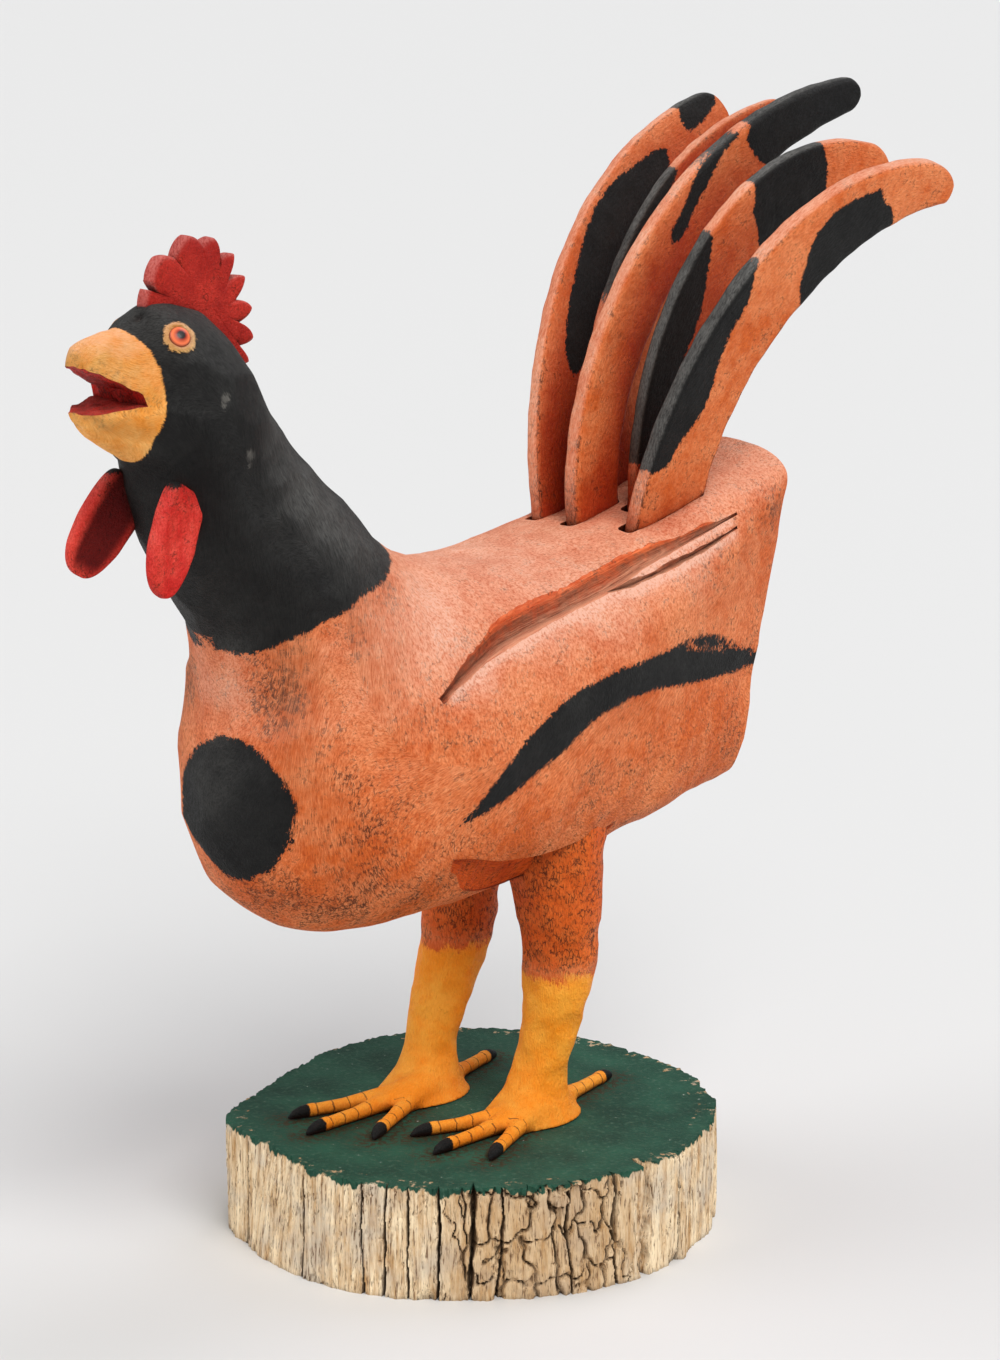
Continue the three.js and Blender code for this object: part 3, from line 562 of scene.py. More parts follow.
def on_side(ahead, up, side):
    """Where a line from the side meets the bird, and the way its surface faces there."""
    hit, normal, _, _ = skin.ray_cast(Vector((side * BEYOND, -ahead, up)), Vector((-side, 0, 0)))
    return np.array(hit), np.array(normal)


eyes = {side: on_side(*EYE_PLACE, side) for side in SIDES.values()}

# The body is hewn like the other pieces, but its facets are as wide as its girth lets them be.
rng = np.random.default_rng(7)
normals = read(body_mesh.vertex_normals, "vector")
station = np.arange(len(rings)) - REAR_RINGS + 1
spread = np.interp(station, np.arange(BODY_RINGS), smooth(SECTIONS, body_t)[:, 4])
girth = np.append(np.repeat(spread, BODY_SIDES), spread[[0, -1]])
cuts = body_verts[rng.choice(len(body_verts), 420, replace=False)]
rise = np.minimum(nearest_squared(body_verts, cuts, 22.0) / (2.6 * girth), 2.0)
shaped = body_verts + normals * (0.8 * (rise - rise.mean()) + 0.5 * waves(body_verts, 70))[:, None]
for side, (point, out) in eyes.items():
    ring = bell((np.linalg.norm(body_verts - point, axis=1) - PUTTY_RING) / 1.3)
    putty = PUTTY_HEIGHTS[side] * ring * (1 + 0.4 * waves(body_verts, 5))
    shaped += out * putty[:, None]
pit = np.linalg.norm(body_verts - place(*PIT), axis=1)
shaped -= normals * (3.6 * bell(pit / 3.0))[:, None]
# Under each wing groove the edge is rubbed down.
flank = step(30, 45, np.abs(body_verts[:, 0]))
for rows, rub in ((WING_GROOVE, 1.2), (COVERT_GROOVE, 0.8)):
    lip = smooth(rows, np.linspace(0.6, len(rows) - 1.4, 220))[:, 2:4]
    shaped -= normals * (rub * beside(from_side(body_verts, 1.5), lip, 1.0, 25.0) * flank)[:, None]
shaped[:, 1] = np.maximum(shaped[:, 1], -BEAK_REACH)
move(body_mesh, shaped)


def groove_cutter(rows, depth, floor, side):
    """A wedge whose sides pass through the groove's two edges on the bird and meet under it; each wall is
    scored by the gouge, in steps that run along it."""
    stations = smooth(rows, np.linspace(0, len(rows) - 1, 96))
    upper, out = (np.array(v) for v in zip(*(on_side(a, b, side) for a, b, _, _ in stations)))
    lower = np.array([on_side(c, d, side)[0] for _, _, c, d in stations])
    width = np.linalg.norm(stations[:, 0:2] - stations[:, 2:4], axis=1)
    below = depth * (width / width.max()) ** GROOVE_SHALLOWS
    bottom = lerp(upper, lower, floor) - out * below[:, None]

    def wall(edge, share, lift, swell, spread):
        score = (lift + swell * waves(bottom * share * spread, 14)) * below / depth
        return lerp(bottom, edge, share) + score[:, None] * out

    ring = [lerp(bottom, upper, GROOVE_OVER)]
    ring += [wall(upper, share, 0.35, 0.45, 3) for share in (0.85, 0.6, 0.35)]
    ring += [bottom, *(wall(lower, share, -0.2, -0.35, 5) for share in (0.3, 0.6))]
    ring.append(lerp(bottom, lower, GROOVE_OVER))
    # The dark lines: gouge marks on the upper wall, and painted shade along the bottom.
    crease_and_shade_lines.extend(ring[2:5])
    return np.stack(ring, 1)


def shelf_cutter(rows, depth, side):
    """What the knife took away under the wing's lower ledge: a layer that is deepest just under the ledge
    and runs out towards the keel, in three chips at its front end."""
    stations = smooth(rows, np.linspace(0, len(rows) - 1, 72))
    run = np.linspace(0, 1, len(stations))
    chips = step(0.0, 0.04, run) * 0.4 + step(0.08, 0.12, run) * 0.25 + step(0.20, 0.24, run) * 0.35
    chips *= step(1.05, 0.55, run)
    drop = 19.0 * (0.5 + 0.5 * step(0.0, 0.2, run)) * step(1.03, 0.5, run) + 1.5
    hits, inner = [], []
    for down in (0.0, 0.02, 0.2, 0.4, 0.6, 0.8, 1.0):
        hit = np.array([on_side(a, u - d * down, side)[0] for (a, u), d in zip(stations, drop)])
        score = 1 + 0.10 * waves(hit + 40 * down, 16) * (0.1 < down < 0.9)
        deep = chips * depth * (1 - down ** 2.5) * score
        hits.append(hit)
        inner.append(hit - np.array([side, 0, -0.6]) * deep[:, None])
    # A dark line just under the ledge, as painted shade.
    crease_and_shade_lines.append(inner[1])
    first = [hits[0] + np.array([side * out, 0, 0]) for out in (12.0, 0.4)]
    last = [hits[-1] + np.array([side * out, 0, up]) for out, up in ((0.8, -0.6), (25.0, -12.0))]
    return np.stack([*first, *inner[1:], *last], 1)


def plate_section(back, front, thick, corner, turns=6, flat=14):
    """A rectangle with round corners, as places across and through the plate, ring by ring: each corner
    is an arc of its own radius, and the long faces are split evenly between them."""
    arc = np.linspace(0, np.pi / 2, turns)
    parts = []
    for k, (sx, sy) in enumerate([(1, 1), (-1, 1), (-1, -1), (1, -1)]):
        angle = arc + k * np.pi / 2
        parts.append(np.stack([sx + 0 * arc, sy + 0 * arc, np.cos(angle), np.sin(angle)]))
        if k % 2 == 0:
            split = np.linspace(sx, -sx, flat)[1:-1]
            parts.append(np.stack([split, sy + 0 * split, 0 * split, sy + 0 * split]))
    across, through, ox, oy = np.concatenate(parts, 1)
    corner = np.minimum(corner, np.minimum((back + front) / 2, thick))[:, None]
    mid, half = ((front - back) / 2)[:, None], ((front + back) / 2)[:, None]
    return mid + (half - corner) * across + corner * ox, (thick[:, None] - corner) * through + corner * oy


def feather_rings(feather, grow=0.0, ahead_by=0.0, short=False, rounds=(10, 10)):
    """A curved plate: its middle line is the sum of steps whose slope grows by u^bend, and its width
    narrows past the shoulder. Near the tip each edge rounds over as a quarter of an ellipse. Returns the
    rings, the place along the plate, and the places across and through it."""
    foot_ahead, foot_side, lean, start, sweep, bend, length, half, tip, thick = feather
    lean = np.radians(lean)
    through = np.array([np.cos(lean), 0, -np.sin(lean)])
    rise = np.array([np.sin(lean), 0, np.cos(lean)])
    ahead = place(1, 0, 0)

    def turned(v, a, b):
        """The way a turned towards b by the plate's slope at v."""
        slope = np.radians(start + sweep * np.maximum(v, 0) ** bend)[:, None]
        return a * np.cos(slope) + b * np.sin(slope)

    u = np.arange(FEATHER_STEPS + 1) / FEATHER_STEPS
    way = turned(u[1:] - 0.5 / FEATHER_STEPS, rise, -ahead)
    foot = place(foot_ahead, foot_side, BACK_HEIGHT)
    line = foot + np.concatenate([np.zeros((1, 3)), np.cumsum(way, 0)]) * length / FEATHER_STEPS
    s = np.linspace(-SLOT_DEPTH, 66, 26)
    if not short:
        end = 30 * np.sin(np.radians(np.linspace(0, 87, 34)))
        s = np.concatenate([np.linspace(-SLOT_DEPTH, length - 30, 134)[:-1], length - 30 + end])
    v = s / length
    middle = np.stack([np.interp(v, u, line[:, k]) for k in range(3)], 1)
    middle += turned(u[:1], rise, -ahead) * np.minimum(s, 0)[:, None]
    past = np.maximum(v - FEATHER_SHOULDER, 0) / (1 - FEATHER_SHOULDER)
    width = half * (1 - (1 - tip) * past ** FEATHER_TAPER)
    front, back = (width * np.sqrt(1 - np.clip((s - length) / r + 1, 0, 1) ** 2) for r in rounds)
    if short:
        front, back = width, width
    thickness = thick / 2 * np.clip((front + back) / (0.9 * thick), 0.25, 1) ** 0.6
    corner = np.full(len(s), 0.36 * thick)
    x, y = plate_section(back + grow, front + ahead_by + grow, thickness + grow, corner)
    points = middle[:, None] + x[..., None] * turned(v, ahead, rise)[:, None] + y[..., None] * through
    return points, np.repeat(s[:, None], x.shape[1], 1), x, y


crease_and_shade_lines = []
cutters = [groove_cutter(*groove, side) for groove in GROOVES for side in SIDES.values()]
cutters += [shelf_cutter(BELLY_GROOVE, SHELF_DEPTH, side) for side in SIDES.values()]
cutters += [feather_rings(feather, 0.3, SLOT_AHEAD, short=True)[0] for feather in FEATHERS]
# The sawn mouth: a wedge with a blunt inner edge, and uneven where the saw wandered.
inner_edge, upper_lip, lower_lip = np.array(MOUTH, float)
share = np.linspace(0, 1, 16)[:, None]
jaw = np.concatenate([lerp(lower_lip, inner_edge - MOUTH_BLUNT, share),
                      lerp(inner_edge + MOUTH_BLUNT, upper_lip, share[1:])])
across = np.linspace(-MOUTH_REACH, MOUTH_REACH, 41)
mouth_ring = np.stack([place(jaw[:, 0], side, jaw[:, 1]) for side in across])
rough = 0.55 * waves(mouth_ring.reshape(-1, 3), 7).reshape(mouth_ring.shape[:2])
mouth_ring[:, 1:-1, 2] += rough[:, 1:-1]
mouth_ring[:, 13:18, 1] += 1.2 * rough[:, 13:18]


def carve(mesh, rings_list, material_index):
    """The mesh with each cutter taken out of it; the new faces keep the cutter's material."""
    obj = new_object("carving", mesh)
    tools = []
    for k, rings_of in enumerate(rings_list):
        tool_mesh = mesh_of(f"tool_{k}", *tube(rings_of))
        count, sides = rings_of.shape[:2]
        along = np.repeat(summed(np.linalg.norm(np.diff(rings_of.mean(1), axis=0), axis=1)), sides)
        lines = np.stack([along, np.tile(np.arange(sides) * 7.0, count) + 60.0 * k], 1)
        lay_rows(tool_mesh, np.concatenate([lines, lines[[0, -1]]]))
        for material in mesh.materials:
            tool_mesh.materials.append(material)
        indices = np.full(len(tool_mesh.polygons), material_index[k])
        tool_mesh.polygons.foreach_set("material_index", indices)
        tools.append(new_object(f"tool_{k}", tool_mesh))
        cut = obj.modifiers.new(f"cut_{k}", "BOOLEAN")
        cut.operation, cut.solver, cut.object = "DIFFERENCE", "EXACT", tools[-1]
    bpy.context.view_layer.update()
    made = bpy.data.meshes.new_from_object(obj.evaluated_get(bpy.context.evaluated_depsgraph_get()))
    for thing in [obj, *tools]:
        data = thing.data
        bpy.data.objects.remove(thing)
        bpy.data.meshes.remove(data)
    return made


for paint in (body_paint, groove_paint, mouth_paint):
    body_mesh.materials.append(paint)
carved = carve(body_mesh, [*cutters, mouth_ring], [1] * len(cutters) + [2])

# Paint outlines, as (ahead, up) on the side, or (side, up) on the chest.
STRIPE = [
    (84, 266), (57, 295), (34, 312), (10, 326), (-11, 332), (-32, 337), (-57, 339), (-75, 340), (-114, 344),
    (-128, 342), (-151, 333), (-185, 318), (-185, 308), (-158, 309), (-115, 311), (-67, 315), (-44, 313),
    (-22, 309), (-6, 301), (10, 292), (33, 282), (55, 274),
]
# Where the brush ran dry in the stripe: behind, up.
DRY_LINE = [(104, 335), (124.4, 330.5), (141.4, 328), (172, 324)]
SPOT = [
    (-29, 297), (-15, 314), (5, 324), (20, 324), (36, 317), (46, 307), (52, 290), (49, 270), (38, 254),
    (21, 244), (8, 244), (-11, 257), (-33, 270),
]
NECK_LINE = [
    (-300, 470), (60, 436), (86, 414), (102, 407), (114, 403), (133, 399), (145, 393), (159, 387),
    (168, 382), (180, 375), (188, 370), (193, 372), (196, 378), (220, 384),
]
BEAK_LINE = [
    (478, 252), (482, 249), (487, 249), (496, 248), (502, 246), (511, 244), (524, 244), (533, 244),
    (542, 246), (548, 249), (553, 253),
]
# The distance that stands for well outside a patch.
UNPAINTED = -50

# Worn spots, where the rows are rubbed dark: ahead, side, up, reach in mm, strength.
WORN = [
    (178, 33, 352, 14, 0.9), (177, 36, 338, 13, 0.9), (169, 47, 346, 11, 0.6), (181, 30, 366, 12, 0.6),
    (118, 52, 400, 12, 0.7), (150, 55, 386, 13, 0.5), (140, 60, 377, 12, 0.4), (100, 52, 392, 14, 0.4),
    (148, 68, 298, 13, 0.7), (141, 69, 269, 12, 0.7), (130, 65, 244, 14, 0.8), (157, 63, 315, 10, 0.4),
    (125, 75, 290, 12, 0.3), (180, 16, 238, 16, 0.5), (163, 37, 231, 16, 0.7), (141, 48, 224, 14, 0.7),
    (96, 60, 225, 18, 0.5), (64, 66, 231, 14, 0.4), (92, 75, 336, 9, 0.6), (78, 76, 340, 9, 0.5),
    (63, 65, 365, 12, 0.3), (-5, 53, 391, 12, 0.4), (3, 74, 357, 14, 0.3), (-111, 73, 369, 14, 0.5),
    (-131, 69, 382, 12, 0.6), (-151, 64, 294, 11, 0.6), (-150, 61, 270, 14, 0.6), (-186, 61, 408, 16, 0.8),
    (-200, 20, 434, 16, 0.6), (-59, 77, 279, 16, 0.3), (-24, 79, 274, 16, 0.3), (60, 80, 300, 24, 0.25),
    (-170, 64, 330, 12, 0.4), (-84, 68, 386, 8, 0.6), (-115, 66, 393, 8, 0.6), (110, 76, 330, 18, 0.3),
]
# Where the film of dust lies thick; the blots on the upper neck and on the chest spot are painted
# highlights.
DUST_AND_HIGHLIGHT_BLOTS = [
    (190, 14, 371, 12, 0.35), (185, -12, 342, 14, 0.35), (186, 10, 352, 12, 0.3), (78, 49, 387, 26, 0.35),
    (77, 64, 367, 18, 0.4), (30, 69, 357, 10, 0.4), (6, 72, 364, 12, 0.4), (-21, 72, 369, 12, 0.4),
    (-44, 75, 361, 18, 0.3), (60, 75, 343, 10, 0.4), (-115, 69, 376, 16, 0.3), (110, 66, 370, 30, 0.3),
    (164, 41, 465, 20, 0.6), (149, 43, 447, 20, 0.7), (137, 46, 432, 18, 0.7), (176, 35, 490, 16, 0.5),
    (120, 45, 425, 16, 0.5), (194, -3, 287, 14, 0.15), (193, -12, 300, 12, 0.15), (0, 30, 394, 50, 0.2),
]
# Pale scabs on the neck: ahead, side, up, radius.
FLECKS = [(200, 44, 484, 3.0), (200.5, 44, 479, 1.6), (214.5, 42, 516, 2.4), (216, 42, 511.5, 1.2)]


def blots(points, table):
    """The sum of soft round spots, each strength e^-(d / reach)^2."""
    total = np.zeros(len(points))
    for *at, reach, strength in table:
        total += strength * bell(np.linalg.norm(points - place(*at), axis=1) / reach)
    return total


p = read(carved.vertices, "co") / MM
mirrored = p * np.array([-1, 1, 1])
plan = from_side(p)
ahead, side, up = -p[:, 1], p[:, 0], p[:, 2]
stripe = inside_by(plan, STRIPE) - 2.6 * step(84, 40, ahead)
behind = np.linspace(104, 172, 40)
missed = np.stack([-behind, np.interp(behind, *zip(*DRY_LINE))], 1)
stripe = lerp(stripe, np.minimum(stripe, 0.1), beside(plan, missed, 0.5, 30.0))
stripe[np.abs(side) < 57] = UNPAINTED
spot = np.where(ahead > 120, inside_by(np.stack([side + 3.0, up + 1.0], 1), SPOT), UNPAINTED)
neck = np.where(ahead > 40, (up - np.interp(ahead, *zip(*NECK_LINE))) * 0.94, UNPAINTED)
mark(carved, "black", np.maximum.reduce([stripe, spot, neck]))
mark(carved, "beak", ahead - np.interp(up, *zip(*BEAK_LINE)))
ring = np.min([np.linalg.norm(p - point, axis=1) for point, _ in eyes.values()], axis=0)
mark(carved, "putty", np.where(side > 0, 8.9, 7.6) - ring)
fleck = [radius - np.linalg.norm(p - place(*at), axis=1) for *at, radius in FLECKS]
mark(carved, "fleck", np.max(fleck, axis=0))
crease_and_shade = beside(p, np.concatenate(crease_and_shade_lines), 0.1, 0.5)
mark(carved, "crease_and_shade", crease_and_shade)
lip = inside_by(plan, MOUTH)
worn = 0.7 * blots(p, WORN) + 0.45 * blots(mirrored, WORN) + 0.4 * crease_and_shade
worn += 0.55 * bell(np.minimum(lip, 0) / 5.0) * (ahead > 240) - 0.4 * (ahead > 244) * (np.abs(lip) > 9)
mark(carved, "worn", worn)
mark(carved, "inner", np.zeros(len(p)))
# A painted highlight along the rounded lip under each groove, and a little more pale film higher up.
lower = [smooth(rows, np.linspace(0.4, len(rows) - 1.2, 220))[:, 2:4] for rows, _, _ in GROOVES]
roll = beside(from_side(p, 1.2), np.concatenate(lower), 1.0, 7.0) * step(30, 45, np.abs(side))
mark(carved, "dust_and_highlight", blots(p, DUST_AND_HIGHLIGHT_BLOTS) + blots(mirrored, DUST_AND_HIGHLIGHT_BLOTS) + 1.1 * roll + 0.12 * step(250, 390, up))
piece("carved_body", carved, "body", "orange_paint")

# The outlines of the black marks on each feather, seen from the side.
FEATHER_MARKS = [
    [[(-241, 626), (-249, 620), (-249, 614), (-254, 606), (-268, 611), (-283, 622), (-284, 640),
      (-255, 645)],
     [(-234, 599), (-222, 598), (-206, 592), (-190, 586), (-179, 580), (-165, 570), (-156, 559),
      (-144, 541),
      (-133, 523), (-125, 504), (-121, 488), (-124, 476), (-134, 481), (-149, 498), (-165, 520),
      (-188, 545), (-214, 568), (-233, 586)]],
    [[(-198, 602), (-204, 591), (-192, 575), (-172, 557), (-147, 532), (-131, 515), (-119, 510),
      (-120, 530), (-140, 558), (-160, 580)]],
    [[(-213, 632), (-232, 620), (-228, 610), (-233, 602), (-241, 595), (-263, 585), (-345, 600),
      (-345, 660),
      (-294, 660), (-240, 655)],
     [(-223, 615), (-216, 614), (-204, 608), (-190, 598.5), (-181, 589), (-177, 580), (-168, 569),
      (-162, 562),
      (-162, 555), (-168, 555), (-176, 563), (-181, 571), (-190, 582), (-200, 594), (-208, 604),
      (-221, 612)],
     [(-160, 595), (-171, 587), (-165, 581), (-154, 573), (-144, 563), (-135, 555), (-126, 551),
      (-115, 556), (-130, 574), (-146, 590)]],
    [[(-142, 574), (-160, 566), (-161, 557), (-159, 542), (-156, 522), (-150, 505), (-141, 487),
      (-132, 468), (-124, 449), (-120, 436), (-113, 434), (-98, 440), (-94, 485), (-102, 515), (-114, 545),
      (-128, 570)],
     [(-189, 605), (-194, 585), (-193, 573), (-198, 563), (-203, 545), (-224, 540), (-248, 555),
      (-256, 575), (-256, 593), (-252, 605), (-245, 625), (-217, 625), (-199, 618)]],
    [[(-155, 555), (-151, 547), (-149, 530), (-141, 515), (-135, 497), (-134, 482), (-129, 467),
      (-120, 456), (-113, 448), (-109, 438), (-98, 434), (-86, 442), (-90, 471), (-94, 500), (-106, 526),
      (-122, 550), (-148, 562)],
     [(-247, 588), (-249, 582), (-259, 575), (-264, 566), (-249, 550), (-229, 538), (-199, 510),
      (-192, 533), (-192, 543), (-194, 556), (-197, 566), (-208, 577), (-223, 583), (-237, 586)]],
]
for k, (feather, marks, rounds) in enumerate(zip(FEATHERS, FEATHER_MARKS, TIP_ROUNDS), 1):
    points, s, x, y = feather_rings(feather, rounds=rounds)
    mesh = mesh_of(f"feather_{k}", *tube(points))
    plan = from_side(hew(mesh, 150, 60.0, 0.22))
    mark(mesh, "black", np.max([inside_by(plan, outline) for outline in marks], axis=0))
    coords = np.stack([s.ravel(), x.ravel(), y.ravel()], 1)
    coords = np.concatenate([coords, coords[[0, -1]]])
    front = coords[:, 1] / np.append(np.repeat(x.max(1), x.shape[1]), [1.0, 1.0])
    arris = 0.55 * bell((np.abs(front) - 0.93) / 0.03)
    # The front edge: pale dust and a painted highlight.
    mark(mesh, "dust_and_highlight", 0.62 * step(0.93, 0.99, front))
    mark(mesh, "worn", 0.5 * step(90, 10, coords[:, 0]) * step(0.80, 0.97, np.abs(front)) + arris)
    mark(mesh, "grain", (coords + 100.0 * k) * MM)
    piece(f"feather_{k}", mesh, f"tail_feather_{k}", "orange_paint", feather_paint)


def comb_outline(count=26):
    """The comb's edge, and how deep in a cleft it is: in each lobe the reach falls from the tip by the
    share of the way to the notch."""
    outline = []
    ends = [(start, notch) for start, _, notch, _ in COMB_LOBES[1:]] + [COMB_END]
    for (start, tip, notch, reach), (end, end_notch) in zip(COMB_LOBES, ends):
        angle = lerp(start, end, np.arange(count) / count)
        rising = angle < tip
        u = np.where(rising, (tip - angle) / (tip - start), (angle - tip) / (end - tip))
        low = np.where(rising, notch, end_notch)
        r = lerp(reach, low, u ** COMB_ROUND)
        cleft = u * np.clip((reach - low) / 8, 0, 1)
        outline.append(np.stack([np.cos(np.radians(angle)) * r, np.sin(np.radians(angle)) * r, cleft], 1))
    angle, r = np.radians(COMB_END[0]), COMB_END[1]
    last = np.array([[np.cos(angle) * r, np.sin(angle) * r, 1.0]])
    return np.concatenate([*outline, last, lerp(last, outline[0][0], np.linspace(0, 1, 30)[1:-1, None])])


# The comb is flat with a rounded edge: from its hub on one face, round the outline, to the hub on the
# other, out by |sin w|^(2/p) and through by |cos w|^(2/p).
edge = comb_outline()
w = np.linspace(0, np.pi, 32)[1:-1]
out, through = (np.abs(wave) ** (2 / COMB_POWER) for wave in (np.sin(w), np.cos(w)))
through = COMB_THICK / 2 * (np.sign(np.cos(w)) * through)[:, None]
plan = COMB_HUB + (edge[:, :2] - COMB_HUB) * out[:, None, None]
flute = 1 - 0.4 * edge[:, 2] ** 4 * step(0.6, 1.0, out)[:, None]
points = place(COMB_MIDDLE[0] + plan[..., 0], through * flute, COMB_MIDDLE[1] + plan[..., 1])
mesh = mesh_of("comb_plate", *tube(points))
q = hew(mesh, 120, 30.0, 0.18)
rim = np.append(np.repeat(out, len(edge)), [0.0, 0.0])
notch = np.append(np.tile(edge[:, 2], len(out)), [0.0, 0.0])
foot = np.interp(-q[:, 1], [200, 216, 222, 229, 236, 242], [500, 540, 560.5, 562, 561.5, 558])
mark(mesh, "dust_and_highlight", 0.55 * step(0.93, 1.0, rim))
mark(mesh, "worn", 0.6 * notch ** 6 * step(0.6, 0.85, rim))
mark(mesh, "grain", q[:, UPRIGHT] * MM)
mark(mesh, "black", foot - q[:, 2])
piece("comb_plate", mesh, "comb", "red_paint", red_paint)


def wattle_rings(side):
    """A tongue of wood let into the throat: half width by a power of the sine of the turn down it, its
    faces a little hollow and its edge round. Returns the rings, and how far inside the rim of its faces
    each place is, 1 in the middle."""
    ahead, out, up = WATTLE_MIDDLES[side]
    down = unit(place(np.sin(WATTLE_LEAN), side * np.sin(WATTLE_FLARE), -np.cos(WATTLE_LEAN)))
    front = place(np.cos(WATTLE_SPLAY), side * np.sin(WATTLE_SPLAY), 0)
    through = unit(np.cross(down, front))
    turn = np.radians(np.linspace(6, 174, 90))
    middle = place(ahead, side * out, up) - down * (WATTLE_LONG / 2 * np.cos(turn))[:, None]
    half = WATTLE_WIDE / 2 * np.sin(turn) ** np.where(turn < np.pi / 2, WATTLE_ROOT, WATTLE_END)
    back = half * (1 - WATTLE_TAPER * (1 - np.cos(turn)) / 2)
    thick = WATTLE_THICK / 2 * np.sin(turn) ** 0.4
    (x, y), (even, _) = (
        plate_section(rear, half, thick, 0.75 * thick, turns=8, flat=22) for rear in (back, half))
    reach = np.where(x > 0, x / half[:, None], -x / back[:, None])
    y *= 1 - 0.42 * (1 - step(0.25, 0.85, reach)) * np.sin(turn)[:, None] ** 2
    inside = step(0.95, 0.55, np.abs(even) / half[:, None]) * step(2.9, 2.3, turn)[:, None]
    points = middle[:, None] + x[..., None] * np.cross(through, down) + y[..., None] * through
    return points, np.append(inside, [0.0, 0.0])


# Glass eye: the iris and pupil are painted behind a clear button, so the colour is under a clear coat.
glass, node = new_material("Clear glass over an orange iris")
radius = node("Attribute", attribute_name="radius", out=2)
iris = node("Mix", node("MapRange", radius, 2.6, 4.4), "#96260e", "#f07444", data_type="RGBA")
iris = node("Mix", node("MapRange", radius, 4.8, 5.9), iris, "#4a170a", data_type="RGBA")
colour = node("Mix", node("MapRange", radius, 1.9, 2.7), "#120604", iris, data_type="RGBA")
surface = {"Base Color": colour, "Roughness": 0.45, "IOR": 1.45, "Coat Weight": 0.12,
           "Coat Roughness": 0.02}
node("OutputMaterial", node("BsdfPrincipled", **surface))

for name, side in SIDES.items():
    points, hollow = wattle_rings(side)
    mesh = mesh_of(f"wattle_plate_{name}", *tube(points))
    q = hew(mesh, 70, 30.0, 0.15)
    # The face turned in towards the neck gets painted shade in its hollow.
    turned_in = step(-0.2, 0.5, -side * read(mesh.vertex_normals, "vector")[:, 0])
    mark(mesh, "inner", 0.95 * turned_in * hollow)
    mark(mesh, "grain", q[:, UPRIGHT] * MM)
    mark(mesh, "black", q[:, 2] - q[:, 2].max() + 2.4)
    mark(mesh, "worn", 0.35 * step(452, 462, q[:, 2]))
    piece(f"wattle_plate_{name}", mesh, f"wattle_{name}", "red_paint", wattle_paint)

    # The eye is a flat ball, sunk in its socket.
    point, out = eyes[side]
    a = unit(np.cross(out, (0, 0, 1)))
    w = np.linspace(0, np.pi, 34)[1:-1, None, None]
    turn = (np.arange(48) * 2 * np.pi / 48)[:, None]
    round_way = np.cos(turn) * a + np.sin(turn) * np.cross(out, a)
    ball = np.cos(w) * EYE_BULGE * out + np.sin(w) * EYE_RADIUS * round_way
    mesh = mesh_of(f"glass_eye_{name}", *tube(point - out * EYE_SUNK + ball))
    q = read(mesh.vertices, "co") / MM - point
    mark(mesh, "radius", np.linalg.norm(q - (q @ out)[:, None] * out, axis=1))
    piece(f"glass_eye_{name}", mesh, f"eye_{name}", "glass_eye", glass, sharp=80)


def meet(a, b, blend):
    """Smooth minimum of two distances: they run together over about the blend's length."""
    h = np.clip(0.5 + 0.5 * (b - a) / blend, 0, 1)
    return lerp(b, a, h) - blend * h * (1 - h)


def toe_lines(points, toes):
    """For each toe its length, and how far along its line and off it each point is, seen from above."""
    plan = np.stack([-points[:, 1], points[:, 0]], 1) - toes[0]
    for tip in np.subtract(toes[1:], toes[0]):
        length = np.linalg.norm(tip)
        yield length, plan @ tip / length, plan @ np.array([-tip[1], tip[0]]) / length


def leg_field(points, rows, toes):
    """Distance from a leg: an upright with oval sections, run together with its toes and the web."""
    ahead, side, up = -points[:, 1], points[:, 0], points[:, 2]
    rows = rows[::-1]
    row = smooth(rows, np.interp(up, rows[:, 0], np.arange(len(rows))))
    dx, dy = ahead - row[:, 1], side - row[:, 2]
    field = (np.hypot(dx / row[:, 3], dy / row[:, 4]) - 1) * np.minimum(row[:, 3], row[:, 4])
    for length, run, off in toe_lines(points, toes):
        u = np.clip(run / length, 0.02, 1)
        claw = 1 - CLAW_LENGTH / length
        stations = [0, 0.4, 0.6, claw - 0.03, claw, lerp(claw, 1, 0.5), lerp(claw, 1, 0.85), 1]
        r = np.interp(u, stations, [7.5, 5.0, 4.0, 3.7, 4.1, 3.7, 2.6, 1.2])
        h = np.interp(u, stations, [6.5, 5.0, 3.9, 3.7, 3.8, 3.6, 2.6, 1.3])
        aside = np.hypot(off, run - u * length)
        field = meet(field, np.hypot(aside, up - BASE_HEIGHT - h) - r, 7.0)
    return field


